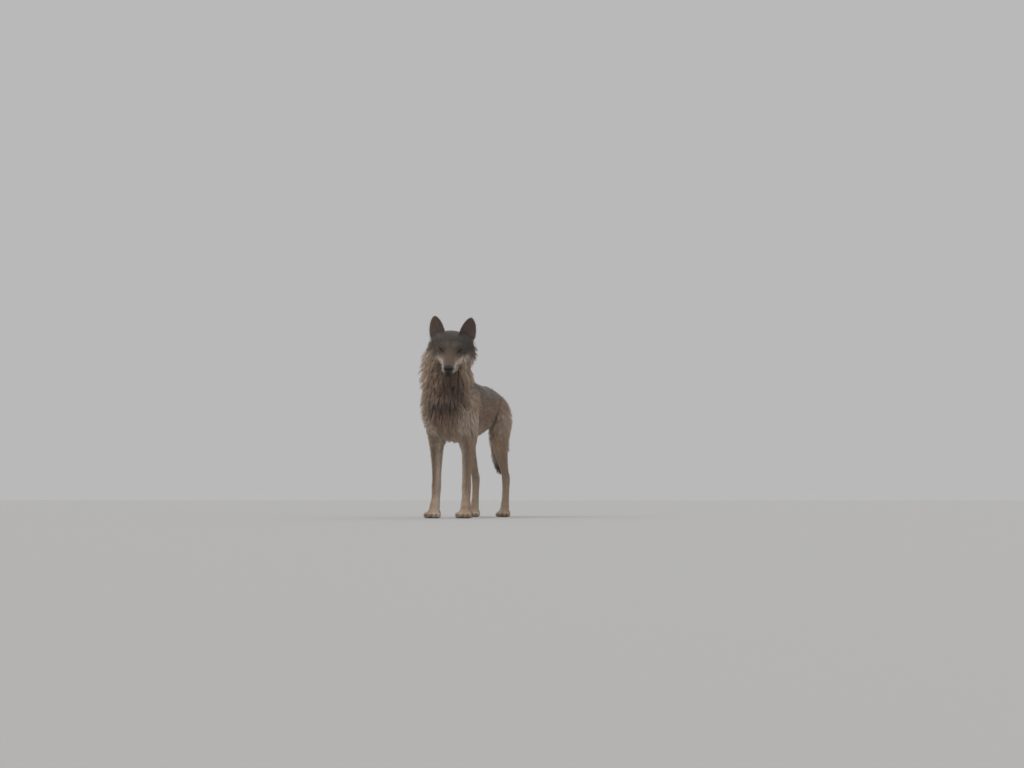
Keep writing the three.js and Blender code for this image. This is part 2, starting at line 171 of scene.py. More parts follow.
# %% [markdown]
# ## The body as a few long forms
#
# An animal's outline could be sculpted point by point. Here each part is a *form*: a smooth
# spine with an oval section at each station, and a few forms melt together. One section has its
# place (x, y, z), its half width, its reach up and down, and the depth of the coat there, all in
# millimetres. The skin lies that deep under the outline of the coat.

# %% Stations of the body's forms
TRUNK = [  # breastbone, shoulder, withers, ribs, loin, croup, buttocks
    (0, -400, 590, 16, 24, 28, 20),
    (0, -376, 592, 80, 88, 96, 30),
    (0, -322, 600, 119, 124, 166, 30),
    (0, -240, 608, 126, 148, 204, 28),
    (0, -120, 610, 124, 136, 201, 24),
    (0, 0, 612, 120, 122, 181, 23),
    (0, 120, 618, 113, 113, 157, 22),
    (0, 220, 622, 104, 107, 137, 21),
    (0, 310, 618, 93, 96, 122, 20),
    (0, 380, 604, 81, 75, 104, 18),
    (0, 428, 588, 54, 54, 78, 16),
    (0, 450, 575, 12, 14, 20, 10),
]
NECK = [  # from inside the ruff down into the shoulders
    (54, -428, 872, 44, 40, 40, 20),
    (42, -418, 846, 120, 108, 100, 32),
    (24, -392, 792, 138, 134, 122, 38),
    (12, -360, 738, 140, 136, 128, 38),
    (3, -318, 680, 134, 138, 128, 34),
    (0, -276, 625, 120, 122, 120, 30),
    (0, -245, 580, 76, 76, 84, 26),
]
TAIL = [  # from its root to its tip
    (0, 372, 662, 30, 26, 30, 10),
    (0, 420, 654, 37, 34, 36, 14),
    (3, 464, 605, 46, 42, 44, 20),
    (7, 490, 525, 56, 50, 52, 25),
    (12, 499, 435, 60, 53, 54, 27),
    (16, 500, 352, 50, 46, 46, 24),
    (18, 497, 290, 31, 29, 29, 16),
    (19, 494, 250, 7, 7, 7, 3),
]
FORELEG = [  # shoulder blade, point of the shoulder, elbow, wrist, foot
    (52, -222, 700, 24, 30, 30, 20),
    (70, -246, 650, 54, 72, 70, 24),
    (84, -288, 560, 62, 80, 78, 22),
    (89, -268, 492, 53, 74, 66, 18),
    (90, -250, 430, 44, 57, 52, 13),
    (89, -252, 372, 37, 45, 41, 9),
    (86, -258, 290, 29, 34, 30, 5.5),
    (84, -264, 212, 25, 28, 25, 4.5),
    (84, -266, 172, 27, 29, 27, 4.5),
    (85, -272, 112, 24, 25, 24, 4),
    (86, -284, 66, 28, 27, 27, 4),
    (87, -294, 34, 25, 22, 22, 4),
]
HINDLEG = [  # hip, thigh, knee, tendon, hock, foot
    (60, 300, 660, 20, 36, 36, 18),
    (74, 302, 618, 48, 80, 84, 20),
    (88, 292, 555, 58, 95, 100, 19),
    (95, 268, 484, 51, 86, 76, 17),
    (97, 252, 426, 44, 74, 52, 14),
    (95, 276, 370, 37, 60, 41, 10),
    (92, 322, 308, 29, 44, 31, 7),
    (90, 364, 254, 22, 33, 27, 5.5),
    (90, 386, 216, 24, 29, 26, 4.5),
    (90, 385, 150, 21, 24, 22, 4),
    (90, 376, 88, 23, 24, 23, 4),
    (90, 366, 52, 25, 24, 24, 4),
    (90, 358, 32, 22, 20, 20, 4),
]
HEAD = [  # lips, muzzle, stop, brow, cheeks, ruff and nape, in the head's own millimetres
    (0, -141, -58, 14, 10, 13, 1.5),
    (0, -132, -58, 26, 23, 24, 1.5),
    (0, -108, -55, 31, 29, 31, 1.8),
    (0, -78, -50, 35, 34, 38, 2),
    (0, -48, -43, 40, 36, 46, 2.2),
    (0, -20, -34, 49, 43, 61, 2.6),
    (0, 10, -24, 64, 54, 80, 4),
    (0, 45, -24, 81, 71, 90, 9),
    (0, 80, -30, 104, 88, 97, 18),
    (0, 112, -40, 127, 97, 102, 28),
    (0, 144, -54, 122, 85, 92, 30),
    (0, 170, -64, 90, 56, 70, 26),
    (0, 188, -68, 26, 20, 24, 12),
]
JAW = [  # chin to the corner of the jaw
    (0, -128, -86, 10, 8, 8, 1.8),
    (0, -117, -87, 20, 15, 15, 2),
    (0, -85, -87, 26, 18, 20, 3),
    (0, -42, -87, 34, 22, 26, 4.5),
    (0, 8, -86, 47, 30, 36, 9),
    (0, 55, -84, 60, 36, 42, 22),
]
print("stations:", sum(map(len, (TRUNK, NECK, TAIL, FORELEG, HINDLEG, HEAD, JAW))))

# %% [markdown]
# A spine through a few stations is a Catmull-Rom curve, which passes through every one of them.
# Each sample of it carries its own three directions, so a section can lean with the spine.

# %% Run a smooth spine through the stations
def unit(vectors):
    """The same directions with length one."""
    length = np.linalg.norm(vectors, axis=-1, keepdims=True)
    return vectors / np.maximum(length, 1e-9)


def form(stations, sideways=(1, 0, 0), steps=3):
    """Samples the smooth curve through the stations, with the directions of each section."""
    rows = np.array(stations, float)
    padded = np.vstack((2 * rows[0] - rows[1], rows, 2 * rows[-1] - rows[-2]))
    samples, slopes = [], []
    for i in range(steps * (len(rows) - 1) + 1):
        k = min(i // steps, len(rows) - 2)
        t = i / steps - k
        a, b, c, d = padded[k : k + 4]
        bend, twist = 2 * a - 5 * b + 4 * c - d, 3 * (b - c) + d - a
        samples.append(b + t * ((c - a) + t * (bend + t * twist)) / 2)
        slopes.append(((c - a) + t * (2 * bend + 3 * t * twist)) / 2)
    samples = np.array(samples)
    forward = unit(np.array(slopes)[:, :3])
    up = unit(np.cross(sideways, forward))
    return {
        "at": samples[:, :3],
        "reach": samples[:, 3:6],
        "coat": samples[:, 6],
        "forward": forward,
        "up": up,
        "side": np.cross(forward, up),
    }


half_turn = math.radians(HEAD_ANGLES[2] / 2)
forms = {
    "trunk": form(TRUNK),
    "neck": form(NECK, (math.cos(half_turn), math.sin(half_turn), 0)),
    "tail": form(TAIL),
    "foreleg": form(FORELEG),
    "hindleg": form(HINDLEG),
    "head": form(HEAD, steps=7),
    "jaw": form(JAW, steps=5),
}
print("spine samples:", {name: len(shape["at"]) for name, shape in forms.items()})

# %% [markdown]
# ## A distance to the body
#
# A *distance field* tells how far any point lies outside the body, and is negative inside. It is
# slower than a mesh, but forms melt together in it with one line of arithmetic, and it also
# answers three questions for the coat: how deep it is here, which way the hair lies, and where on
# its form this place is.

# %% Measure the distance to one form
SECTION_POWER = 2.2  # above 2 a section is a little fuller than an ellipse
NEAR = 40.0  # millimetres outside a form's box where only the box's distance is used


def probe(shape, points):
    """Distance outside a form, coat depth, lie of the hair, and the place along and around it.

    Only the spans of the spine that could be nearest to a point are measured for it.
    """
    at, reach, side, up = (shape[key] for key in ("at", "reach", "side", "up"))
    low, high = at.min(0) - reach.max(), at.max(0) + reach.max()
    away = np.linalg.norm(np.maximum(0, np.maximum(low - points, points - high)), axis=1)
    found = {
        "distance": away,
        "coat": np.full(len(points), shape["coat"].mean()),
        "lie": np.tile(shape["forward"].mean(0), (len(points), 1)),
        "along": np.zeros(len(points)),
        "around": np.zeros(len(points)),
    }
    near = np.flatnonzero(away < NEAR)
    p = points[near]
    best = {key: value[near].copy() for key, value in found.items()}
    best["distance"] = np.full(len(near), np.inf)
    middles, half = (at[1:] + at[:-1]) / 2, np.linalg.norm(np.diff(at, axis=0), axis=1) / 2
    apart = (p**2).sum(1)[:, None] - 2 * p @ middles.T + (middles**2).sum(1)
    apart = np.sqrt(np.maximum(apart, 0))
    widest = np.maximum(reach[1:], reach[:-1]).max(1)
    farthest = (apart - np.minimum(reach[1:], reach[:-1]).min(1)).min(1)
    maybe = apart - half - widest <= farthest[:, None]
    for i in range(len(at) - 1):
        here = np.flatnonzero(maybe[:, i])
        span = at[i + 1] - at[i]
        length = np.linalg.norm(span)
        off = p[here] - at[i]
        share = np.clip(off @ span / length**2, 0, 1)
        off -= share[:, None] * span
        size = reach[i] + share[:, None] * (reach[i + 1] - reach[i])
        sideways = off @ side[i] + share * (off @ (side[i + 1] - side[i]))
        above = off @ up[i] + share * (off @ (up[i + 1] - up[i]))
        height = np.where(above > 0, size[:, 1], size[:, 2])
        ratio = (
            np.abs(sideways / size[:, 0]) ** SECTION_POWER
            + np.abs(above / height) ** SECTION_POWER
            + np.abs(off @ span / length / np.minimum(size[:, 0], height)) ** SECTION_POWER
        )
        scale = np.maximum(ratio, 1e-12) ** (1 / SECTION_POWER)
        distance = np.maximum(np.linalg.norm(off, axis=1) * (1 - 1 / scale), -height)
        closer = distance < best["distance"][here]
        here, part = here[closer], share[closer]
        best["distance"][here] = distance[closer]
        best["coat"][here] = shape["coat"][i] + part * (shape["coat"][i + 1] - shape["coat"][i])
        step = shape["forward"][i + 1] - shape["forward"][i]
        best["lie"][here] = shape["forward"][i] + part[:, None] * step
        best["along"][here] = (i + part) / (len(at) - 1)
        best["around"][here] = np.arctan2(sideways[closer], above[closer])
    for key, value in best.items():
        found[key][near] = value
    return found


inside = probe(forms["trunk"], np.array([[0.0, 0.0, 612.0]]))
print("the middle of the trunk lies", round(-float(inside["distance"][0])), "mm inside its outline")

# %% [markdown]
# A few short formulas do most of the modelling and the colouring from here on. They all have soft
# edges: a hard *if* in a shape or a colour shows as a line.

# %% Add soft bands, soft steps and soft joins
def bell(x, width):
    """One at x = 0, falling away smoothly to either side."""
    return np.exp(-((x / width) ** 2))


def ramp(x, start, end):
    """A smooth step from 0 at start to 1 at end."""
    t = np.clip((x - start) / (end - start), 0, 1)
    return t * t * (3 - 2 * t)


def melt(a, b, width):
    """The lower of two distances, rounded where they are within width of each other."""
    near = np.maximum(width - np.abs(a - b), 0) / width
    return np.minimum(a, b) - near * near * width / 4


def ball(points, at, size):
    """Distance outside an ellipsoid, near enough for small ones."""
    return (np.linalg.norm((points - at) / size, axis=1) - 1) * min(size)


print("two surfaces 5 mm away melt into one at", melt(np.array([5.0]), np.array([5.0]), 12)[0], "mm")

# %% [markdown]
# ## Melting the forms together
#
# The legs are mirror images, so one side stands for both: points are folded over the middle
# plane and the answer is folded back. Where two forms meet, the coat's depth and the lie of the
# hair are mixed, so no step shows between, say, the neck and the chest.

# %% The whole body as one field
PAD = ((0, -5, 22), (37, 42, 30))
TOES = [((x, -29 if abs(x) > 20 else -48, 16), (16, 29, 19)) for x in (-31, -14, 14, 31)]
PAWS = {"foreleg": ((87, -290, 0), 1.0), "hindleg": ((90, 362, 0), 0.92)}
PAW_COAT = 3.0
PAW_LIE = unit(np.array((0.0, -0.85, -0.5)))
SWELLINGS = [  # of the left half of the face: brow, cheekbone, whisker pad
    ((34, 6, 26), (25, 17, 10)),
    ((57, 24, -18), (23, 40, 20)),
    ((18, -106, -65), (18, 28, 20)),
]
NAPE = ((12, -300, 840), (80, 48, 70))  # fills the hollow behind the head
MELT = {  # millimetres over which each of these melts into the rest
    "toe": 4, "paw": 16, "jaw": 10, "swelling": 14, "neck": 60, "nape": 40, "face": 44,
    "leg": 36, "tail": 20, "eye": 10,
}
MIX = 6.0  # millimetres over which two forms share the lie and depth of the hair
PAW_EDGE = 12.0  # millimetres over which a leg's hair turns into its paw's
CROWN_THINNING = 0.6  # how much shorter the hair is on top of the head than on its sides
PARTS = ("trunk", "neck", "tail", "foreleg", "hindleg", "head", "jaw")


def paw_distance(points, at, scale):
    """Distance outside one paw: its main pad and four toes."""
    p = (points - at) / scale
    distance = ball(p, *PAD)
    for toe in TOES:
        distance = melt(distance, ball(p, *toe), MELT["toe"])
    return distance * scale


def body(points):
    """The coat's outline at these points, with everything that the coat needs to know."""
    points = np.asarray(points, float)
    left = np.sign(points[:, :1]) * (1, 0, 0) + (0, 1, 1)
    local = to_head(points)
    seen = {}
    for name in PARTS:
        if name in ("head", "jaw"):
            seen[name] = probe(forms[name], local)
            seen[name]["lie"] = seen[name]["lie"] @ head_turn.T
            top = np.cos(seen[name]["around"])
            seen[name]["coat"] *= 1 - CROWN_THINNING * ramp(top, 0.1, 0.85)
        elif name in PAWS:
            seen[name] = probe(forms[name], points * left)
            paw = paw_distance(points * left, *PAWS[name])
            on_paw = np.clip((seen[name]["distance"] - paw) / PAW_EDGE + 0.5, 0, 1)[:, None]
            seen[name]["lie"] = (seen[name]["lie"] * (1 - on_paw) + PAW_LIE * on_paw) * left
            seen[name]["coat"] += on_paw[:, 0] * (PAW_COAT - seen[name]["coat"])
            seen[name]["distance"] = melt(seen[name]["distance"], paw, MELT["paw"])
        else:
            seen[name] = probe(forms[name], points)
    face = melt(seen["head"]["distance"], seen["jaw"]["distance"], MELT["jaw"])
    for swelling in SWELLINGS:
        face = melt(face, ball(fold(local), *swelling), MELT["swelling"])
    distance = melt(seen["trunk"]["distance"], seen["neck"]["distance"], MELT["neck"])
    distance = melt(distance, ball(points, *NAPE), MELT["nape"])
    distance = melt(distance, face, MELT["face"])
    legs = np.minimum(seen["foreleg"]["distance"], seen["hindleg"]["distance"])
    distance = melt(distance, legs, MELT["leg"])
    distance = melt(distance, seen["tail"]["distance"], MELT["tail"])

    each = np.stack([seen[name]["distance"] for name in PARTS])
    weight = np.exp(-(each - each.min(0)) / MIX)
    weight /= weight.sum(0)
    coat = sum(w * seen[name]["coat"] for w, name in zip(weight, PARTS))
    lie = sum(w[:, None] * seen[name]["lie"] for w, name in zip(weight, PARTS))
    part = each.argmin(0)
    pick = np.arange(len(points))
    along = np.stack([seen[name]["along"] for name in PARTS])[part, pick]
    around = np.stack([seen[name]["around"] for name in PARTS])[part, pick]
    return {
        "distance": distance,
        "coat": coat,
        "lie": unit(lie),
        "part": part,
        "along": along,
        "around": around,
        "local": local,
        "share": dict(zip(PARTS, weight)),
    }


print("parts of the body:", ", ".join(PARTS))

# %% [markdown]
# ## The face
#
# A wolf's face carries folds that the outline doesn't tell: the closed mouth, the groove under
# the nose, hollows beside the stop and the rims and creases of the lids. They could be painted
# on, but light finds a painted fold out at once. Here they deepen or lift the skin a few
# millimetres.

# %% Lay out the opening of the eye
GAZE_OUT = unit(np.array((0.42, -0.88, 0.12)))  # the way the left eye's opening faces
LID_RADIUS = EYE_RADIUS + 1.5
LID_SLANT = 15  # degrees that the outer corner is raised
LID_HALF_WIDTH = 11.6
LID_UPPER = 4.6
LID_LOWER = 4.8


def eye_axes(side):
    """Outwards, upwards and forwards of an eye's opening, in the head's own directions."""
    forward = GAZE_OUT * (side, 1, 1)
    level = unit(np.array((-side * forward[1], side * forward[0], 0)))
    up = np.cross(level, forward) * -side
    slant = math.radians(LID_SLANT)
    outer = level * math.cos(slant) + up * math.sin(slant)
    return outer, np.cross(outer, forward) * -side, forward


def eye_opening(folded):
    """How far places are from the middle of the eye's opening: one at its rim. Also how high."""
    outer, up, forward = eye_axes(1)
    away = folded - EYE
    across, above = away @ outer, away @ up
    ring = np.hypot(across / (LID_HALF_WIDTH + 1), above / (LID_UPPER + 1))
    return np.where(away @ forward > 2, ring, 99.0), across, above


print("the left eye's outer corner points", np.round(eye_axes(1)[0], 2))

# %% Fold the face
MOUTH_Z = -77.0
MOUTH_CORNER_Y = -33.0
NOSE_AT = np.array((0.0, -138.0, -49.0))


def mouth_height(y):
    """The mouth line: level along the muzzle, lifted at its corner and under the nose."""
    return MOUTH_Z + 5 * ramp(y, -60, MOUTH_CORNER_Y) + 3 * bell(y + 134, 12)


def face_folds(local):
    """How much deeper the skin lies in the folds of the face, in millimetres."""
    folded = fold(local)
    x, y, z = folded.T
    mouth = bell(z - mouth_height(y), 2.2) * ramp(y, MOUTH_CORNER_Y + 6, MOUTH_CORNER_Y - 4)
    lip = bell(z - mouth_height(y) - 6, 4) * ramp(y, MOUTH_CORNER_Y + 8, MOUTH_CORNER_Y - 20)
    under_nose = bell(x, 1.6) * ramp(y, -128, -136) * ramp(z, -78, -72)
    brow_groove = bell(x, 9) * bell(y - 8, 26) * ramp(z, -4, 16)
    beside_stop = bell(x - 24, 10) * bell(y + 26, 18) * bell(z - 2, 16)
    tear = bell(x - 25, 4) * bell(y + 31, 8) * bell(z + 8, 6)
    ring, _, above = eye_opening(folded)
    lid = bell(ring - 1.35, 0.3)
    crease = bell(ring - 2.3, 0.45) * (0.45 + 0.55 * ramp(above, -3, 4))
    brow = bell(x - 34, 15) * bell(y - 2, 12) * bell(z - 20, 8)
    return (4 * mouth - 1.2 * lip + 2.2 * under_nose + 2.5 * brow_groove + 3 * beside_stop
            + 1.2 * tear - 1.1 * lid + 1.6 * crease - 2.5 * brow)


print("the mouth line lies", -mouth_height(-80.0).round(1), "mm below the middle of the eyes")

# %% [markdown]
# The skin is the coat's outline, moved inwards by the depth of the coat. Over each eyeball it
# swells to a ball a little larger, for the lids, and under the paws it ends flat on the floor.

# %% Measure the distance to the skin
FACE_BACK = (110, 60)  # the face's folds fade out between these, backwards from the eyes
FLOOR = 0.0


def skin_distance(points):
    """Distance outside the skin, which lies under the coat."""
    found = body(points)
    local = found["local"]
    skin = found["distance"] + found["coat"] + ramp(local[:, 1], *FACE_BACK) * face_folds(local)
    lids = np.linalg.norm(fold(local) - EYE, axis=1) - LID_RADIUS
    return np.maximum(melt(skin, lids, MELT["eye"]), FLOOR - points[:, 2])


behind_brow = skin_distance(from_head(np.array([[0.0, 20.0, 20.0]])))
print("20 mm behind and above the eyes is", round(-float(behind_brow[0])), "mm under the skin")

# %% [markdown]
# ## From a distance to a mesh
#
# A field has no faces yet. *Surface nets* make them: the space is cut into small cubes, each cube
# that the skin passes through gets one point, and each cube edge that it crosses gets a
# four-sided face. Blender's voxel remesh does the same from a mesh; here there's only a formula.
# Most cubes are far from the skin, so a coarse look first finds the few that matter.

# %% Net a grid of distances
def net(values):
    """Quads where a grid of distances changes sign, and their corners in grid steps."""
    cells = np.array(values.shape) - 1
    total, hits, quads = np.zeros((cells.prod(), 3)), np.zeros(cells.prod()), []
    steps = np.eye(3, dtype=int)
    for axis in range(3):
        ahead, u, v = steps[axis], steps[(axis + 1) % 3], steps[(axis + 2) % 3]
        start = values[tuple(slice(0, n - s) for n, s in zip(values.shape, ahead))]
        end = values[tuple(slice(s, None) for s in ahead)]
        crossing = np.argwhere((start < 0) != (end < 0))
        first, last = start[tuple(crossing.T)], end[tuple(crossing.T)]
        place = crossing + (first / (first - last))[:, None] * ahead
        ring = [crossing - u - v, crossing - v, crossing, crossing - u]
        ring = np.stack([np.ravel_multi_index(corner.T, cells) for corner in ring], 1)
        for corner in ring.T:
            hits += np.bincount(corner, minlength=len(hits))
            for k in range(3):
                total[:, k] += np.bincount(corner, place[:, k], len(hits))
        quads.append(np.where((first < 0)[:, None], ring, ring[:, ::-1]))
    used = np.flatnonzero(hits)
    quads = np.searchsorted(used, np.concatenate(quads))
    return total[used] / hits[used, None], quads


def grid_points(low, counts, step):
    """The corners of a grid, as one long list of points."""
    axes = [low[k] + step * np.arange(counts[k]) for k in range(3)]
    return np.stack(np.meshgrid(*axes, indexing="ij"), -1).reshape(-1, 3)


test_grid = np.linalg.norm(grid_points((-2, -2, -2), (5, 5, 5), 1), axis=1).reshape(5, 5, 5) - 1.5
print("a small test ball has", len(net(test_grid)[1]), "quads")

# %% Cut the space into cubes and net the skin
CUBE = 8.0
COARSE = 4  # cubes along the side of one coarse block
FAR = 1.1 * CUBE * COARSE + 10  # a block whose middle is this far from the skin holds none of it

low = (np.array(frame_box[0]) - body_start) / MM - 2 * CUBE
high = (np.array(frame_box[1]) - body_start) / MM + 2 * CUBE
blocks = np.ceil((high - low) / (CUBE * COARSE)).astype(int)
inner = grid_points((0, 0, 0), (COARSE,) * 3, CUBE)
corners = grid_points(low, blocks, CUBE * COARSE)
rough = skin_distance(corners + (COARSE - 1) / 2 * CUBE)
near = np.abs(rough) < FAR
fine = np.repeat(np.sign(rough)[:, None] * CUBE, COARSE**3, axis=1)
fine[near] = skin_distance((corners[near][:, None] + inner).reshape(-1, 3)).reshape(-1, COARSE**3)
grid = fine.reshape(*blocks, COARSE, COARSE, COARSE).transpose(0, 3, 1, 4, 2, 5)
skin_points, skin_quads = net(grid.reshape(blocks * COARSE))
skin_points = low + CUBE * skin_points
print(near.sum(), "of", len(near), "blocks hold skin;", len(skin_quads), "quads")

# %% [markdown]
# The body needs cubes of 8 mm, the lips and lids need 1 mm, and there are eight times as many
# cubes at half the size. So the net is refined only where the wolf is looked at closely: quads
# are halved round the head and paws, again in the face, and once more round eyes, nose and mouth.
# Then every point slides down the field's slope until it lies on the skin.

# %% Slide points onto the skin
TETRA = np.array([(1, 1, 1), (1, -1, -1), (-1, 1, -1), (-1, -1, 1)]) / math.sqrt(3)


def settle(points, distance, rounds, reach=0.6, most=4.0):
    """Slides points along the field's slope to where its distance is zero."""
    for _ in range(rounds):
        probes = [distance(points + reach * way) for way in TETRA]
        slope = sum(p[:, None] * way for p, way in zip(probes, TETRA)) * 3 / (4 * reach)
        step = sum(probes) / 4 / np.maximum((slope**2).sum(1), 0.2)
        points = points - np.clip(step, -most, most)[:, None] * slope
    return points


skin_points = settle(skin_points, skin_distance, 2)
off_skin = np.abs(skin_distance(skin_points))
print("after two slides the points are", off_skin.mean().round(3), "mm off the skin on average")

# %% Say where the net is refined
HEAD_MIDDLE = (0, 10, -30)
HEAD_REACH = 175
FACE_REACH = 200
FACE_START = 22  # the face lies before this, in the head's own millimetres
LIPS_START = -18
NOSE_START = -112
LIP_REACH = 8
EYE_REACH = 27
PAW_TOP = 70


# All three are asked for the same two things: places on the body and on the head.
def near_head_or_paws(points, local):
    """Which points are halved first."""
    return (np.linalg.norm(local - HEAD_MIDDLE, axis=1) < HEAD_REACH) | (points[:, 2] < PAW_TOP)


def near_face(points, local):
    """Which points are halved once more."""
    return (local[:, 1] < FACE_START) & (np.linalg.norm(local, axis=1) < FACE_REACH)


def near_openings(points, local):
    """Which points are halved a third time: round the eyes, lips and nose."""
    eyes = np.linalg.norm(fold(local) - EYE, axis=1) < EYE_REACH
    lips = (np.abs(local[:, 2] - MOUTH_Z - 2) < LIP_REACH) & (local[:, 1] < LIPS_START)
    openings = eyes | lips | (local[:, 1] < NOSE_START)
    return openings & (np.linalg.norm(local, axis=1) < FACE_REACH)


REGIONS = (near_head_or_paws, near_face, near_openings)
for region in REGIONS:
    print(region.__name__, region(skin_points, to_head(skin_points)).sum(), "points before halving")

# %% Refine the net
def refined(points, quads):
    """The net with its faces halved three times, each time in a smaller region."""
    flat = bpy.data.meshes.new("net")
    flat.from_pydata(points.tolist(), [], quads.tolist())
    mesh = bmesh.new()
    mesh.from_mesh(flat)
    bpy.data.meshes.remove(flat)
    for region in REGIONS:
        places = np.array([vert.co[:] for vert in mesh.verts])
        chosen = region(places, to_head(places)).tolist()
        edges = [e for e in mesh.edges if chosen[e.verts[0].index] and chosen[e.verts[1].index]]
        bmesh.ops.subdivide_edges(mesh, edges=edges, cuts=1, use_grid_fill=True)
        mesh.verts.index_update()
    bmesh.ops.triangulate(mesh, faces=[face for face in mesh.faces if len(face.verts) > 4])
    return mesh


def move_points(mesh, places):
    """Puts a bmesh's points at these places."""
    for vert, place in zip(mesh.verts, places.tolist()):
        vert.co = place


def relaxed(points, edges, free, rounds):
    """Draws each free point towards the middle of its neighbours."""
    ends = np.concatenate((edges, edges[:, ::-1]))
    count = np.bincount(ends[:, 0], minlength=len(points))[:, None]
    for _ in range(rounds):
        middle = [np.bincount(ends[:, 0], points[ends[:, 1], k], len(points)) for k in range(3)]
        points = points + free[:, None] * 0.5 * (np.stack(middle, 1) / count - points)
    return points


skin_mesh = refined(skin_points, skin_quads)
places = settle(np.array([vert.co[:] for vert in skin_mesh.verts]), skin_distance, 2)
edges = np.array([[vert.index for vert in edge.verts] for edge in skin_mesh.edges])
# Lids and lips keep most of their sharpness, and the soles stay flat.
free = np.where(near_openings(places, to_head(places)), 0.25, 1.0) * (places[:, 2] > 2)
places = relaxed(places, edges, free, 4)
move_points(skin_mesh, to_scene(places))
bmesh.ops.triangulate(skin_mesh, faces=skin_mesh.faces[:], quad_method="SHORT_EDGE")
print("skin without its ears:", len(skin_mesh.verts), "points,", len(skin_mesh.faces), "triangles")

# %% [markdown]
# ## Ears
#
# An ear is a leaf: broad at the root, pointed with a round tip, and cupped round its long axis.
# It could be netted like the body, but it is thinner than a cube there, so its two faces come
# straight from a formula. A boolean then joins it to the skin, so that no seam is left.

# %% Shape the ears
EAR_LENGTH = 105.0
EAR_HALF_WIDTH = 49.0
EAR_WALL = 6.5
EAR_CUP = 0.62
EAR_ROOT = np.array((75.0, 100.0, 33.0))
EAR_DEPTH = -0.4  # how far the leaf goes on below its root, in lengths
EAR_SPREAD = 11  # degrees that an ear leans outwards
EAR_TILT = 12  # degrees that it leans forwards from upright
EAR_TWIST = 28  # degrees that its opening is turned outwards


def turned(angle, axis):
    """A turn about one axis, in degrees."""
    return np.array(Matrix.Rotation(math.radians(angle), 3, axis))


def ear_turn(side):
    """The directions of an ear's own axes on the head."""
    upright = turned(EAR_TILT - HEAD_ANGLES[0], "X")
    return turned(EAR_SPREAD * side, "Y") @ upright @ turned(EAR_TWIST * side, "Z")


def ear_width(v):
    """Half the leaf's width at v: 0 is the root, 1 the tip. The tip is kept round."""
    up = np.clip(v, 0, 1)
    return EAR_HALF_WIDTH * np.minimum(1, 1 + v) * np.maximum(1 - up**2.2, 0.004) ** 0.64


def ear_bow(u, v):
    """How far back the middle of the leaf bows, against its two edges."""
    return EAR_CUP * ear_width(v) * (1 - 0.72 * np.clip(v, 0, 1)) * (1 - u * u)


def ear_mesh(side, rows=30, columns=28):
    """One closed leaf, in scene metres. Column 0 is the outer edge, and the back comes first."""
    v = np.linspace(EAR_DEPTH, 1, rows)[:, None]
    angle = 2 * np.pi * np.arange(columns)[None] / columns
    u = np.cos(angle)
    wall = EAR_WALL * (1 - 0.5 * np.clip(v, 0, 1)) * np.minimum(1, 4 * (1 - v) + 0.25) / 2
    y = ear_bow(u, v) + wall * np.sin(angle)
    local = np.stack((side * u * ear_width(v), y, EAR_LENGTH * v + 0 * u), -1).reshape(-1, 3)
    points = to_scene(from_head(local @ ear_turn(side).T + EAR_ROOT * (side, 1, 1)))
    faces = [tuple(range(columns)), tuple(range((rows - 1) * columns, rows * columns))[::-1]]
    for row in range(rows - 1):
        for i in range(columns):
            a, b = row * columns + i, row * columns + (i + 1) % columns
            faces.append((b, a, a + columns, b + columns))
    mesh = bpy.data.meshes.new("ear")
    mesh.from_pydata(points.tolist(), [], faces if side > 0 else [face[::-1] for face in faces])
    return mesh


print("an ear is", round(2 * float(ear_width(0.0))), "mm wide at its root")

# %% Join the ears to the skin
def outward(mesh):
    """Turns a closed mesh's faces outwards."""
    shell = bmesh.new()
    shell.from_mesh(mesh)
    bmesh.ops.recalc_face_normals(shell, faces=shell.faces)
    shell.to_mesh(mesh)
    shell.free()
    return mesh


def new_piece(name, mesh):
    """A mesh as an object of the scene."""
    piece = bpy.data.objects.new(name, mesh)
    bpy.context.scene.collection.objects.link(piece)
    return piece


def carve(piece, tool_mesh, operation):
    """Joins a closed mesh to a piece, or cuts it away, and keeps the result."""
    tool = new_piece("tool", outward(tool_mesh))
    modifier = piece.modifiers.new("carve", "BOOLEAN")
    modifier.operation, modifier.object, modifier.solver = operation, tool, "MANIFOLD"
    result = bpy.data.meshes.new_from_object(piece.evaluated_get(bpy.context.evaluated_depsgraph_get()))
    piece.modifiers.remove(modifier)
    bpy.data.objects.remove(tool)
    old, piece.data = piece.data, result
    bpy.data.meshes.remove(old)


skin = new_piece("skin", bpy.data.meshes.new("skin"))
skin_mesh.to_mesh(skin.data)
skin_mesh.free()
outward(skin.data)
for side in (1, -1):
    carve(skin, ear_mesh(side), "UNION")
print("skin with its ears:", len(skin.data.polygons), "faces")

# %% [markdown]
# ## Lids and eyeballs
#
# The skin already swells over each eyeball. The eye opens where an almond-shaped prism is cut
# through that swelling, with the outer corner higher than the inner one, and a hollow a hair
# larger than the eyeball lets it sit behind the lids, as a real one does.

# %% Cut the lids open
EYE_ROOM = 0.2
LID_CURVE = 1.25  # above 1 the corners of the eye are drawn out to points
LID_CUT = ((3, 0.9), (12, 1.0), (30, 1.5))  # how far out each ring of the prism is, and how wide


def tube_faces(rings, sides):
    """The faces of a closed tube: its two ends and its walls."""
    last = (rings - 1) * sides
    faces = [tuple(range(sides)), tuple(range(last, last + sides))[::-1]]
    for start in range(0, last, sides):
        for i in range(sides):
            j = (i + 1) % sides
            faces.append((start + i, start + j, start + sides + j, start + sides + i))
    return faces


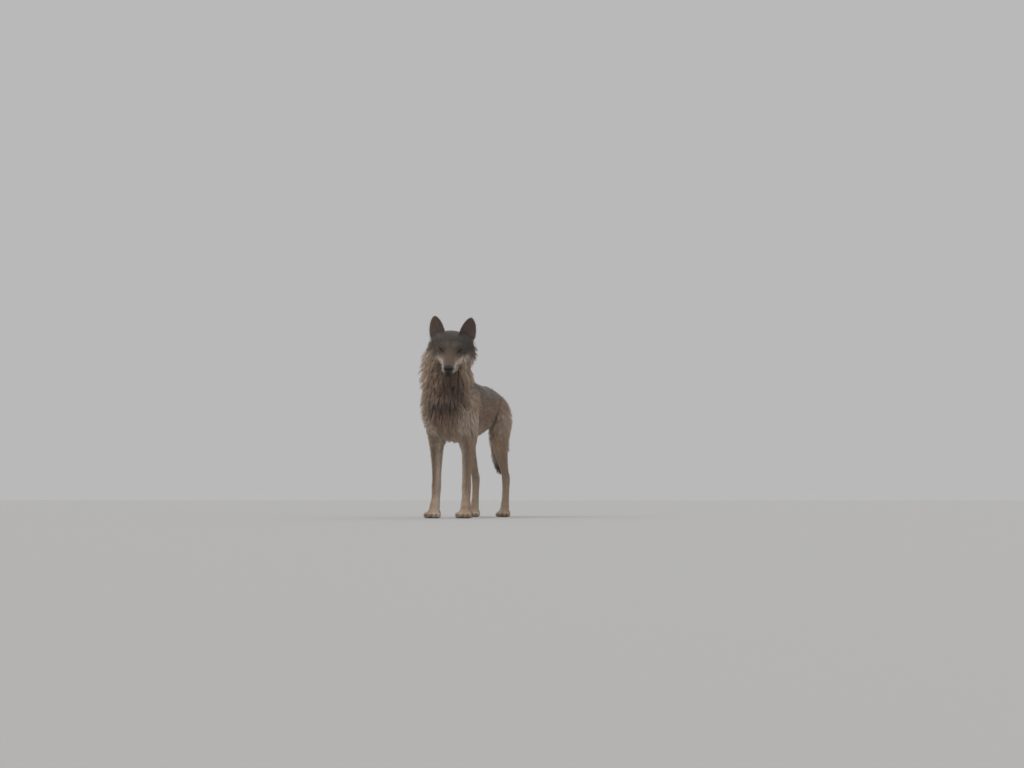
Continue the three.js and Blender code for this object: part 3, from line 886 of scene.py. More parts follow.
def almond(side, count=40):
    """A prism with the outline of the open eye, from inside the eyeball to well outside."""
    outer, up, forward = eye_axes(side)
    angle = 2 * np.pi * np.arange(count) / count
    height = np.where(np.sin(angle) > 0, LID_UPPER, LID_LOWER)
    s = LID_HALF_WIDTH * np.cos(angle)
    t = height * np.sign(np.sin(angle)) * np.abs(np.sin(angle)) ** LID_CURVE
    ring = s[:, None] * outer + t[:, None] * up
    rings = [EYE * (side, 1, 1) + depth * forward + flare * ring for depth, flare in LID_CUT]
    points = to_scene(from_head(np.concatenate(rings)))
    mesh = bpy.data.meshes.new("almond")
    mesh.from_pydata(points.tolist(), [], tube_faces(len(rings), count))
    return mesh


def globe(middle, radius, around=48):
    """A round ball, in scene metres."""
    shell = bmesh.new()
    bmesh.ops.create_uvsphere(shell, u_segments=around, v_segments=around // 2, radius=radius * MM)
    bmesh.ops.translate(shell, verts=shell.verts, vec=to_scene(from_head(middle)))
    mesh = bpy.data.meshes.new("globe")
    shell.to_mesh(mesh)
    shell.free()
    return mesh


for side in (1, -1):
    carve(skin, globe(EYE * (side, 1, 1), EYE_RADIUS + EYE_ROOM), "DIFFERENCE")
    carve(skin, almond(side), "DIFFERENCE")
print("skin with open eyes:", len(skin.data.polygons), "faces")

# %% [markdown]
# An eyeball isn't quite round: the clear cornea stands a little proud over the iris. The ball is
# turned so that the wolf looks at whoever stands before it, and every point remembers how far
# round from the middle of the pupil it lies, for the rings of colour.

# %% Make the eyeballs
LOOK = unit(np.array((0.16, -0.93, 0.27)))  # where the left eye looks, from the head
CORNEA_RADIUS = 7.6
CORNEA_RISE = 1.1


def eyeball(side):
    """One eyeball with its cornea, and the attribute gaze for its colours."""
    shell = bmesh.new()
    bmesh.ops.create_uvsphere(shell, u_segments=64, v_segments=48, radius=EYE_RADIUS)
    points = np.array([vert.co[:] for vert in shell.verts])
    away = np.linalg.norm(points[:, :2], axis=1)
    rise = CORNEA_RISE * np.maximum(1 - (away / CORNEA_RADIUS) ** 2, 0) ** 0.8
    rise[points[:, 2] < 0] = 0
    gaze = points.copy()
    points += rise[:, None] * (0, 0, 1)
    forward = LOOK * (side, 1, 1)
    level = unit(np.cross((0, 0, 1), forward))
    turn = np.stack((level, np.cross(forward, level), forward))
    move_points(shell, to_scene(from_head(points @ turn + EYE * (side, 1, 1))))
    mesh = bpy.data.meshes.new("eyeball")
    shell.to_mesh(mesh)
    shell.free()
    mesh.attributes.new("gaze", "FLOAT_VECTOR", "POINT").data.foreach_set("vector", gaze.ravel())
    mesh.shade_smooth()
    return mesh


eyeballs = {}
for side, name in ((1, "left"), (-1, "right")):
    eyeballs[name] = new_piece("eyeball_" + name, eyeball(side))
    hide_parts("eye_" + name)
    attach(eyeballs[name], "root")
print("eyeballs:", {name: len(piece.data.polygons) for name, piece in eyeballs.items()})

# %% [markdown]
# ## Nose pad
#
# The nose is bare, pebbled leather: a broad pad with a comma-shaped nostril on each side and a
# groove down the middle. It is netted like the body, with cubes of under a millimetre.

# %% Shape the nose
NOSE_HALF = np.array((20.0, 14.0, 15.0))
NOSE_POWER = 2.6  # above 2 the pad is squarer than an egg
NOSE_TAPER = 5.0  # how much narrower it is at the bottom
NOSE_CUBE = 0.8
NOSE_ROOM = 4.0  # of the grid round the pad
NOSTRIL = ((8.6, -12, -0.5), (4.2, 8, 4.4))
NOSTRIL_SLIT = ((14.5, -9, -4), (6.5, 8, 1.7))  # its tail, towards the side


def nose_distance(local):
    """Distance outside the nose pad, in the head's own millimetres."""
    folded = fold(local - NOSE_AT)
    x, y, z = folded.T
    half_width = NOSE_HALF[0] - NOSE_TAPER * ramp(z, 2, -15)
    pad = np.abs(x / half_width) ** NOSE_POWER
    pad += np.abs(y / NOSE_HALF[1]) ** NOSE_POWER
    pad += np.abs(z / NOSE_HALF[2]) ** NOSE_POWER
    pad = (pad ** (1 / NOSE_POWER) - 1) * 13
    for hollow in (NOSTRIL, NOSTRIL_SLIT):
        pad = -melt(-pad, ball(folded, *hollow), 2)
    groove = bell(x, 1.3) * ramp(z, 6, -2)
    return pad + 1.6 * groove


counts = np.ceil(2 * (NOSE_HALF + NOSE_ROOM) / NOSE_CUBE).astype(int)
start = NOSE_AT - NOSE_HALF - NOSE_ROOM
values = nose_distance(grid_points(start, counts, NOSE_CUBE)).reshape(counts)
points, quads = net(values)
points = settle(start + NOSE_CUBE * points, nose_distance, 2, 0.3, 1.0)
nose_data = bpy.data.meshes.new("nose_pad")
nose_data.from_pydata(to_scene(from_head(points)).tolist(), [], quads.tolist())
nose_data.shade_smooth()
nose = new_piece("nose_pad", outward(nose_data))
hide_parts("nose")
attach(nose, "root")
print("nose pad:", len(nose_data.polygons), "faces")

# %% [markdown]
# ## Claws
#
# Each toe ends in a blunt, curved claw of dark horn. There are sixteen, all alike, so one short
# function sweeps a shrinking ring along an arc, and a loop places it on every toe.

# %% Make the claws
CLAW_LENGTH = 17.0
CLAW_RADIUS = 3.6
CLAW_RINGS, CLAW_SIDES = 8, 10
CLAW_START, CLAW_BEND = 12, 42  # degrees below level at the root, and how much more at the tip
CLAW_TIP = 0.35
CLAW_FLATNESS = 0.7
CLAW_AT = (0, -20, 4)  # its root, from the middle of the toe


def claw(at, scale):
    """The rings of points of one claw, pointing forwards and down, in body millimetres."""
    points, place = [], np.zeros(3)
    for share in np.linspace(0, 1, CLAW_RINGS):
        drop = math.radians(CLAW_START + CLAW_BEND * share)
        forward = np.array((0, -math.cos(drop), -math.sin(drop)))
        up = np.array((0, -math.sin(drop), math.cos(drop)))
        size = CLAW_RADIUS * (1 - share**2.2) + CLAW_TIP
        for k in range(CLAW_SIDES):
            angle = 2 * math.pi * k / CLAW_SIDES
            sideways = np.array((CLAW_FLATNESS * math.cos(angle), 0, 0))
            points.append(place + size * (sideways + math.sin(angle) * up))
        place = place + forward * CLAW_LENGTH / (CLAW_RINGS - 1)
    return np.array(points) * scale + at


points, faces = [], []
for foot, scale in PAWS.values():
    for side in (1, -1):
        for toe, _ in TOES:
            place = np.array(foot) * (side, 1, 1) + (np.array(toe) + CLAW_AT) * scale
            for face in tube_faces(CLAW_RINGS, CLAW_SIDES):
                faces.append(tuple(len(points) + i for i in face))
            points += to_scene(claw(place, scale)).tolist()
claw_data = bpy.data.meshes.new("claws")
claw_data.from_pydata(points, [], faces)
claw_data.shade_smooth()
claws = new_piece("claws", outward(claw_data))
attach(claws, "root")
print("claws:", len(faces), "faces")

# %% [markdown]
# ## Reading the skin
#
# The coat grows from the skin, so every point of the skin is asked once what grows there. The
# ears were joined by a boolean and the body's field doesn't know them, so their own formula is
# turned round to find which points are theirs, how far up, and on which face of the leaf.

# %% Ask every point of the skin what grows there
SLIVER = 0.02  # edges shorter than this are closed up

bare = bmesh.new()
bare.from_mesh(skin.data)
bmesh.ops.triangulate(bare, faces=bare.faces)
bmesh.ops.dissolve_degenerate(bare, edges=bare.edges, dist=SLIVER * MM)
bmesh.ops.triangulate(bare, faces=bare.faces)
bare.to_mesh(skin.data)
bare.free()
skin.data.shade_smooth()


def read(items, key, width, kind=float):
    """One property of many mesh items as an array."""
    flat = np.empty(len(items) * width, kind)
    items.foreach_get(key, flat)
    return flat.reshape(-1, width)


roots = (read(skin.data.vertices, "co", 3) - body_start) / MM
normals = read(skin.data.vertex_normals, "vector", 3)
triangles = read(skin.data.loops, "vertex_index", 1, np.int32).reshape(-1, 3)
ground = body(roots)
print("the coat on the skin is", ground["coat"].min().round(1), "to", ground["coat"].max().round(1), "mm")

# %% Tell the ears from the rest
NUMBERS = {name: number for number, name in enumerate((*PARTS, "ear"))}
EAR_COAT_INSIDE = 4.5  # at the root of the leaf, and 3 mm less at its tip
EAR_COAT_BACK = 1.4


def ear_place(local, side):
    """Where points lie on one ear: across, up, and in front of or behind the leaf."""
    p = (local - EAR_ROOT * (side, 1, 1)) @ ear_turn(side)
    v = p[:, 2] / EAR_LENGTH
    u = side * p[:, 0] / ear_width(v)
    return u, v, p[:, 1] - ear_bow(np.clip(u, -1, 1), v)


ear_up = np.zeros(len(roots))
ear_inner = np.zeros(len(roots), bool)
for side in (1, -1):
    u, v, behind = ear_place(ground["local"], side)
    mine = (v > -0.02) & (np.abs(u) < 1.15) & (np.abs(behind) < EAR_WALL * 0.75)
    mine &= ground["distance"] + ground["coat"] > 1.0
    inner = mine & (behind < 0)
    ear_inner |= inner
    ear_up[mine] = v[mine]
    # Hair runs to the tip, and inside also out towards the edge.
    outwards, _, tipwards = ear_turn(side).T @ head_turn.T
    inside_lie = tipwards * 0.8 + np.sign(u)[:, None] * side * outwards * 0.6
    coat = np.where(inner, EAR_COAT_INSIDE - 3 * np.clip(v, 0, 1), EAR_COAT_BACK)
    # On the unwrapped form each ear has a place of its own, and so has each face of it.
    around = side * (1.6 + 0.7 * u * np.where(inner, 1, -1) + 0.75 * inner)
    ground["lie"][mine] = np.where(inner[:, None], inside_lie, tipwards)[mine]
    ground["coat"][mine] = coat[mine]
    ground["part"][mine] = NUMBERS["ear"]
    ground["along"][mine] = np.clip(v, 0, 1)[mine]
    ground["around"][mine] = around[mine]
on_ear = ground["part"] == NUMBERS["ear"]
print("points on the ears:", on_ear.sum(), "of", len(roots))

# %% [markdown]
# ## Markings
#
# A grey wolf isn't grey all over. The brow and mane are dark and grizzled, the sides of the
# muzzle and the cheeks pale, the chest dark in the middle, the shoulders and legs fawn. You could
# paint an image, but a few named zones with soft edges are easier to move. Skin and coat read the
# same function, so they always agree.

# %% Name the colours and lay them out
def linear(red, green, blue):
    """A colour as a screen counts it, as the light that it stands for."""
    c = np.array((red, green, blue)) / 255
    return np.where(c <= 0.04045, c / 12.92, ((c + 0.055) / 1.055) ** 2.4)


GRIZZLE = linear(150, 139, 130)
BROWN = linear(160, 135, 118)
UMBER = linear(112, 94, 82)
FAWN = linear(203, 177, 154)
CREAM = linear(228, 214, 198)
BLACK = linear(34, 30, 28)
EAR_BROWN = linear(132, 112, 105)
PALE_FAWN = 0.6 * FAWN + 0.4 * CREAM


def wander(points, size):
    """A smooth, irregular number between about -1 and 1 that changes over size millimetres."""
    x, y, z = (points / size).T
    waves = np.sin(1.7 * x + 2.1 * np.sin(1.3 * y + 0.4))
    waves += np.sin(1.9 * y + 1.8 * np.sin(1.1 * z + 1.3))
    waves += np.sin(1.5 * z + 2.3 * np.sin(1.4 * x + 2.2))
    return waves / 2.2


def mix(base, colour, share):
    """A colour with a share of another laid over it, at every point."""
    share = np.clip(share, 0, 1)[:, None]
    return base * (1 - share) + np.asarray(colour) * share


print("cream, the palest colour, reflects", np.round(CREAM, 2), "of red, green and blue light")

# %% [markdown]
# Each part of the body gets a short list of zones. A zone is a colour and where it lies: *bell*
# is a soft band or spot, *ramp* a soft edge. The heights of the edges wander a little, because a
# straight border looks painted. Each function also says how black the tips of the hair are.

# %% Colour the trunk, neck and tail
STRAY = 9  # millimetres that a border wanders
THROAT = math.radians(158)  # where the throat's dark band lies round the turned neck


def trunk_coat(points, level, found):
    """Grizzled back, brown flanks, pale shoulders and belly, and a dark spot on the chest."""
    x, y, z = points.T
    aside = np.abs(x)
    up = np.cos(found["around"])  # 1 along the back, -1 along the belly
    coat = mix(GRIZZLE, BROWN, ramp(up, 0.7, 0.1))
    coat = mix(coat, FAWN, 0.8 * ramp(level, 560, 470))
    shoulder = bell(y + 310, 85) * ramp(level, 700, 610) * ramp(aside, 30, 75)
    coat = mix(coat, FAWN, shoulder)
    coat = mix(coat, CREAM, 0.9 * shoulder * bell(level - 520, 75))
    coat = mix(coat, FAWN, 0.9 * bell(y - 310, 100) * ramp(level, 690, 560))
    coat = mix(coat, CREAM, 0.7 * ramp(level, 480, 440) * ramp(aside, 80, 40))
    coat = mix(coat, UMBER, ramp(y, -290, -340) * bell(x - 22, 60) * bell(level - 608, 48))
    saddle = 0.4 * ramp(up, 0.35, 0.95) * ramp(z, 560, 640)
    mane = 0.8 * bell(y + 150, 120) * ramp(up, 0.2, 0.8)
    return coat, np.maximum(saddle, mane)


def neck_coat(points, level, found):
    """Dark mane above, fawn sides, a dark throat that turns with the head, and painted shadow under the
    ruff.
    """
    up, aside = np.cos(found["around"]), np.abs(np.sin(found["around"]))
    from_throat = found["around"] - THROAT
    coat = mix(BROWN, FAWN, 0.9 * ramp(aside, 0.5, 0.9))
    coat = mix(coat, CREAM, 0.3 * ramp(aside, 0.7, 1.0))
    coat = mix(coat, GRIZZLE * 0.85, ramp(up, 0.1, 0.7))
    coat = mix(coat, UMBER, 0.8 * ramp(np.cos(from_throat), 0.68, 0.96) * ramp(level, 820, 760))
    # Painted shadow: darker patches on the neck under the cheeks' ruff, to either side of the throat.
    shadow_under_ruff = bell(level - 735, 30) * bell(np.abs(from_throat) - 1.15, 0.3)
    coat = mix(coat, UMBER, 0.45 * shadow_under_ruff)
    return coat, 0.15 + 0.8 * ramp(up, 0, 0.7)


def tail_coat(points, level, found):
    """Grizzled above, fawn below, with a dark spot near the root and a black tip."""
    up = np.cos(found["around"])
    spot = bell(points[:, 2] - 600, 35) * ramp(up, 0.3, 0.8)
    coat = mix(GRIZZLE, FAWN, 0.9 * ramp(up, 0.1, -0.7))
    coat = mix(coat, BLACK, 0.85 * ramp(level, 350, 300))
    coat = mix(coat, UMBER, 0.8 * spot)
    return coat, 0.6 * ramp(up, 0, 0.8)


print("zones: trunk, neck and tail")

# %% Colour the legs
def lower_leg(x, y, z, up):
    """Fawn, paler inside, with the dark stripe down the front of the foreleg."""
    coat = mix(FAWN, CREAM, 0.6 * ramp(x, 92, 66))
    stripe = bell(x - 92, 12) * ramp(up, 0.2, -0.6) * ramp(z, 90, 200) * ramp(y, 0, -100)
    return mix(coat, UMBER, 0.55 * stripe)


def leg_coat(points, level, found):
    """The lower leg, which turns into the upper arm or the thigh above the elbow."""
    x, y, z = fold(points).T
    upper_arm = mix(FAWN, CREAM, 0.8 * bell(level - 510, 80))
    upper_arm = mix(upper_arm, BROWN, 0.7 * ramp(level, 580, 660))
    thigh = mix(BROWN, FAWN, ramp(level, 690, 560))
    thigh = mix(thigh, CREAM, 0.45 * bell(level - 540, 70))
    upper = np.where((y < 0)[:, None], upper_arm, thigh)
    coat = mix(lower_leg(x, y, z, np.cos(found["around"])), upper, ramp(z, 420, 500))
    return coat, np.where(y < 0, 0.1 * ramp(z, 450, 600), 0.3 * ramp(z, 450, 620))


print("zones: legs")

# %% [markdown]
# The face is what a viewer looks at first, and its hair is short, so its borders are sharper. Its
# places are in the head's own millimetres: x out from the middle, y back and z up from the eyes.

# %% Colour the face
LIP_LINE = (-62, 0.13)  # height of the pale muzzle's upper edge at y = -125, and its slope


def crown_and_muzzle(x, y, z):
    """Dark grizzled crown, brown muzzle, pale stripes along its sides and pale cheeks."""
    coat = mix(GRIZZLE * (0.31, 0.295, 0.27), BROWN * 0.33, ramp(y, 8, -40))
    coat = mix(coat, FAWN * 0.5, 0.8 * ramp(x, 18, 32) * ramp(y, 4, -24) * ramp(z, -8, -28))
    coat = mix(coat, UMBER * 0.6, 0.4 * bell(x, 13) * bell(y + 8, 30))
    coat = mix(coat, FAWN * 0.6, 0.2 * bell(x - 17, 9) * bell(y + 2, 12) * bell(z - 24, 10))
    edge = LIP_LINE[0] + LIP_LINE[1] * (y + 125)
    pale = ramp(z, edge + 25, edge + 7) * ramp(z, -140, -104) * ramp(x, 13, 23)
    coat = mix(coat, CREAM, pale * ramp(y, 70, 30) * (0.3 + 0.65 * ramp(y, -132, -104)))
    # The front of the lips and chin is darker: partly the lips' own dark, partly painted shadow on the
    # chin.
    coat = mix(coat, UMBER * 0.5, 0.9 * ramp(y, -96, -118) * ramp(x, 24, 14) * ramp(z, -58, -72))
    cheek = bell(y - 78, 42) * ramp(x, 58, 78) * bell(z + 60, 31)
    coat = mix(coat, PALE_FAWN, cheek)
    coat = mix(coat, UMBER, 0.3 * bell(y - 52, 20) * bell(z + 42, 16) * ramp(x, 50, 64))
    # Painted shadow under the ruff, behind and below the jaw.
    coat = mix(coat, UMBER, 0.6 * ramp(z, -92, -112) * ramp(y, 20, 60))
    return mix(coat, GRIZZLE * 0.8, ramp(y, 35, 125) * ramp(z, -45, 0))


def face_coat(points, level, found):
    """Crown and muzzle, with black lids, tear streaks, lips and the rim of the nose."""
    folded = fold(found["local"])
    x, y, z = folded.T
    coat = crown_and_muzzle(x, y, z)
    rim, across_eye, above_eye = eye_opening(folded)
    coat = mix(coat, UMBER * 0.5, 0.5 * ramp(rim, 3.6, 1.8))
    streak = bell(across_eye + LID_HALF_WIDTH + 5, 6) * bell(above_eye + 2, 3.5) * (rim < 9)
    coat = mix(coat, BLACK, np.maximum(ramp(rim, 1.6, 1.2), 0.8 * streak))
    lips = ramp(np.abs(z - mouth_height(y)), 4, 1.2)
    coat = mix(coat, BLACK, 0.9 * lips * ramp(y, MOUTH_CORNER_Y + 8, MOUTH_CORNER_Y - 10))
    nose_edge = np.linalg.norm((folded - NOSE_AT) / (NOSE_HALF + 3), axis=1)
    under_nose = 0.9 * bell(x, 12) * ramp(y, -122, -136) * ramp(z, -50, -60)
    coat = mix(coat, BLACK, np.maximum(ramp(nose_edge, 1.12, 0.98), under_nose))
    return coat, 0.55 * ramp(y, -20, 40) * ramp(z, -60, -10)


print("zones: face")

# %% [markdown]
# Where two parts meet, the field already knows how much of each a point has. The colours are
# mixed in the same shares, so no border follows the joint between two forms.

# %% Lay the markings over the skin
ZONES = {
    "trunk": trunk_coat,
    "neck": neck_coat,
    "tail": tail_coat,
    "foreleg": leg_coat,
    "hindleg": leg_coat,
    "head": face_coat,
    "jaw": face_coat,
}


def markings(points, found):
    """The colour of the coat, and how black its tips are, at these points."""
    height = points[:, 2]
    level = height + STRAY * wander(points, 38)
    colour, black = np.zeros((len(points), 3)), np.zeros(len(points))
    for name, zone in ZONES.items():
        part_colour, part_black = zone(points, level, found)
        colour += found["share"][name][:, None] * part_colour
        black += found["share"][name] * part_black
    soles = ramp(height, 6, 2)
    return mix(colour, BLACK, soles), black * (1 - soles)


ground_colour, ground_black = markings(roots, ground)
ear_inside = mix(EAR_BROWN, UMBER, 0.8 * ramp(ear_up, 0.3, 1))
ear_back = mix(EAR_BROWN * 0.7, UMBER * 0.7, ramp(ear_up, 0.5, 1))
ground_colour[on_ear] = np.where(ear_inner[:, None], ear_inside, ear_back)[on_ear]
ground_black[on_ear] = 0.2
print("mean colour of the coat:", np.round(ground_colour.mean(0), 3))

# %% [markdown]
# ## The coat
#
# Every tuft is a solid: a thin three-sided spike that leaves the skin at a low angle, bends back
# towards it and ends in a point. Long hair needs fewer, larger tufts and short hair needs many
# small ones, so their number comes from how much skin one tuft covers. Particle hair would be
# quicker to set up, but it has no surface of its own and couldn't be printed or exported.

# %% Choose where tufts grow
SEED = 11
LID_BARE = (LID_HALF_WIDTH + 3, LID_LOWER + 2.6)  # half width and half height of the bare almond
rng = np.random.default_rng(SEED)


def hair_length(coat):
    """Hair lies at a low angle, so it is much longer than the coat is deep."""
    return 5 + 2.5 * np.minimum(coat, 34)


def hair_width(length):
    """How thick a tuft of this length is, at its thickest."""
    return 0.45 + 0.027 * length


def coverage(length):
    """How many tufts lie over each place."""
    return 2.6 + 4.2 * ramp(length, 14, 50)


def root_depth(length):
    """How far under the skin a tuft starts: less for short ones, or they'd hardly show."""
    return 0.35 + 0.65 * ramp(length, 12, 30)


def mid(values):
    """A property of the skin's points, at the middle of every triangle."""
    return values[triangles].mean(1)


def bald_places(local, height):
    """Where nothing grows: on the soles, the lids' rims, the lips and under the nose pad."""
    to_eye = fold(local) - EYE
    eye_away = np.linalg.norm(to_eye, axis=1)
    outer, up, forward = eye_axes(1)
    lids = np.hypot(to_eye @ outer / LID_BARE[0], to_eye @ up / LID_BARE[1]) < 1
    bald = (eye_away < EYE_RADIUS + 0.7) | (lids & (eye_away < 24) & (to_eye @ forward > 0))
    bald |= np.linalg.norm((local - NOSE_AT) / (NOSE_HALF + 2), axis=1) < 1
    bald |= height < 3
    lips = (np.abs(local[:, 2] - mouth_height(local[:, 1])) < 3.2) & (local[:, 1] < MOUTH_CORNER_Y)
    return bald | (lips & (np.abs(local[:, 0]) < 60))


first, second, third = (roots[triangles[:, k]] for k in range(3))
area = np.linalg.norm(np.cross(second - first, third - first), axis=1) / 2
length = hair_length(mid(ground["coat"]))
bald = bald_places(mid(ground["local"]), mid(roots[:, 2]))
wanted = area * coverage(length) / (length * hair_width(length)) * ~bald
count = np.floor(wanted + rng.random(len(wanted))).astype(int)
chosen = np.repeat(np.arange(len(count)), count)
shares = rng.random((len(chosen), 2))
flip = shares.sum(1) > 1
shares[flip] = 1 - shares[flip]
weights = np.column_stack((1 - shares.sum(1), shares))
print("tufts:", len(chosen))


def at_root(values):
    """A property of the skin, read at the root of every tuft."""
    return np.einsum("tc,tc...->t...", weights, values[triangles[chosen]])


# %% [markdown]
# Hair lies along the body, but never perfectly. It sags under its own weight, neighbouring
# tufts lean together into locks, and each one differs a little in length and direction. The
# locks matter most: without them a coat looks like a brush. Everything here is done for all tufts
# at once, as arrays, because a loop over 130,000 of them would take minutes.

# %% Read the skin at every root
place, normal = at_root(roots), unit(at_root(normals))
coat_depth = at_root(ground["coat"])
black_tips = at_root(ground_black)
tuft_colour = at_root(ground_colour)
first_corner = triangles[chosen, 0]
part, along, around = (ground[key][first_corner] for key in ("part", "along", "around"))
length = hair_length(coat_depth)
long_hair = ramp(coat_depth, 5, 22)


def on(*names):
    """Which tufts grow on these parts."""
    return np.isin(part, [NUMBERS[name] for name in names])


print("tufts on the head:", on("head", "jaw").sum())

# %% Comb the coat
SAG = 0.42
RUFF_SAG = 0.4  # the cheeks' long hair hangs further down over the neck
NAPE_LIE = (0, 0.6, -1.1)  # behind the head the hair is laid back and down
CHEST_LIE = (0, 0, -2.5)  # and on the chest straight down

nape = ramp(at_root(ground["local"])[:, 1], 85, 150) * on("head")
chest = ramp(place[:, 1], -315, -360) * on("trunk")
lie = at_root(ground["lie"]) + nape[:, None] * NAPE_LIE
sag = SAG + RUFF_SAG * ramp(coat_depth, 12, 25) * on("head")
lie += (0, 0, -1) * (sag * long_hair * ~on("ear"))[:, None]
lie += CHEST_LIE * chest[:, None]
swirl = np.stack([wander(place + 100 * k, 30) for k in range(3)], 1)
lie += (0.1 + 0.12 * long_hair)[:, None] * swirl
lie += (0.08 + 0.07 * long_hair)[:, None] * rng.normal(size=lie.shape)
lie = unit(lie - (lie * normal).sum(1)[:, None] * normal)
across = np.cross(normal, lie)
length *= rng.uniform(0.75, 1.12, len(length))
print("longest tuft:", round(float(length.max()), 1), "mm")

# %% [markdown]
# A tuft's bend is a short arc: it leaves the skin at a small angle, *lift*, and its tip comes back
# almost level. Its four stations are read off a finely drawn arc.

# %% Bend the tufts
STATIONS = np.array((0.0, 0.4, 0.75, 1.0))
BEND = math.radians(13)
FINE_STEPS = 12

stand = 1.1 + 0.2 * on("neck") * ramp(place[:, 0], 40, -40)
stand -= 0.3 * on("head") + 0.4 * nape
lift = np.arcsin(np.clip(stand * coat_depth / length, 0.1, 0.6)) + rng.normal(0, 0.05, len(length))
slant = lift[:, None] + BEND * (1 - 2 * np.linspace(0, 1, FINE_STEPS + 1))
run, rise = (np.cumsum(f(slant), axis=1) - f(slant) / 2 for f in (np.cos, np.sin))
run, rise = run - run[:, :1], rise - rise[:, :1]
picks = np.round(STATIONS * FINE_STEPS).astype(int)
spine = run[:, picks, None] * lie[:, None] + rise[:, picks, None] * normal[:, None]
spine *= length[:, None, None] / (FINE_STEPS + 0.5)
spine += (place - root_depth(length)[:, None] * normal)[:, None]
print("tips stand", round(float(((spine[:, -1] - place) * normal).sum(1).mean()), 1), "mm off the skin")

# %% [markdown]
# One tuft in twelve leads a lock, and the others lean towards the leader nearest to them. A
# *k-d tree* finds it quickly among thousands. Last, tips are kept off the floor and held within
# the model's width, which they near softly instead of being cut off.

# %% Gather the tufts into locks
LOCK_SIZE = 12  # tufts that share one lock
LOCK_CURVE = 1.4  # above 1 a tuft leans over mostly near its tip
TIP_HEIGHT = 1.0  # least height of a tip over the floor
OVERHANG = 6.0  # how far tips may stand out past the solids' width before they are held back
HOLD = 12.0  # and over how much they are

leaders = rng.permutation(len(place))[::LOCK_SIZE]
tree = KDTree(len(leaders))
for i, leader in enumerate(leaders):
    tree.insert(place[leader].tolist(), i)
tree.balance()
nearest = leaders[[tree.find(p)[1] for p in place.tolist()]]
reachable = np.linalg.norm(place - place[nearest], axis=1) < 0.6 * length + 2
reachable &= part == part[nearest]
lean = (0.5 * long_hair + 0.1) * reachable * ~on("ear")
spine += (lean[:, None] * STATIONS**LOCK_CURVE)[:, :, None] * (spine[nearest] - spine)
spine[..., 2] = np.maximum(spine[..., 2], TIP_HEIGHT)
middle_x = body_start[0] / MM
beyond = np.abs(spine[..., 0] + middle_x) - (frame_box[1][0] / MM + OVERHANG)
beyond = np.maximum(beyond, 0)
spine[..., 0] -= np.sign(spine[..., 0]) * (beyond - beyond / (1 + beyond / HOLD))
print("locks:", len(leaders))

# %% [markdown]
# Now the spikes get their faces. Long ones have three rings, shorter ones two or one, and all are
# closed. The attribute *coat* carries each point's colour: darker at the root, as painted shade deep
# in the coat, full in the middle and black at the tip where the wolf is grizzled. The map *OFBake*
# gives each tuft a tiny patch of its own, at its root's place on the unwrapped form, for whoever
# wants to bake the colours.

# %% Give the tufts their faces
SIDES = 3
LENGTHS = (0, 15, 30)  # from these lengths on a tuft has one, two or three rings
RINGS = (np.array((0, 3)), np.array((0, 1, 3)), np.array((0, 1, 2, 3)))
GIRTH = np.array((0.85, 1.0, 0.62))
FLATNESS = 0.45
# A tuft's root is painted darker than the rest: painted shade, deep in the coat.
ROOT_SHADE = 0.68  # how bright a tuft is at its root
TIP_DARKENING = 0.85
LOCK_CONTRAST = 0.09  # how much locks differ in brightness
SHORT_CONTRAST = 0.2  # how much single short tufts do
LONG_CALMER = 0.1  # and by how much less long ones do
PATCHINESS = 0.06
WARMTH = 0.03  # how much they differ between warm and cool
PATCH = 0.003
PIECE_LIMIT = 190000


def tuft_faces(rings):
    """The triangles of one closed spike with this many rings and a tip."""
    faces = [(2, 1, 0)]
    for ring in range(rings - 1):
        for k in range(SIDES):
            a, b = ring * SIDES + k, ring * SIDES + (k + 1) % SIDES
            faces += [(a, b, b + SIDES), (a, b + SIDES, a + SIDES)]
    last, tip = (rings - 1) * SIDES, rings * SIDES
    return np.array(faces + [(last + k, last + (k + 1) % SIDES, tip) for k in range(SIDES)])


lock_shade = rng.normal(0, LOCK_CONTRAST, len(place))[nearest]
own_shade = rng.normal(0, 1, len(place)) * (SHORT_CONTRAST - LONG_CALMER * long_hair)
shade = np.exp(own_shade + lock_shade + PATCHINESS * wander(place, 55))
warmth = rng.normal(0, WARMTH, len(place))[:, None] * (1, 0, -1)
print("tufts differ in brightness by", round(100 * float(shade.std())), "%")


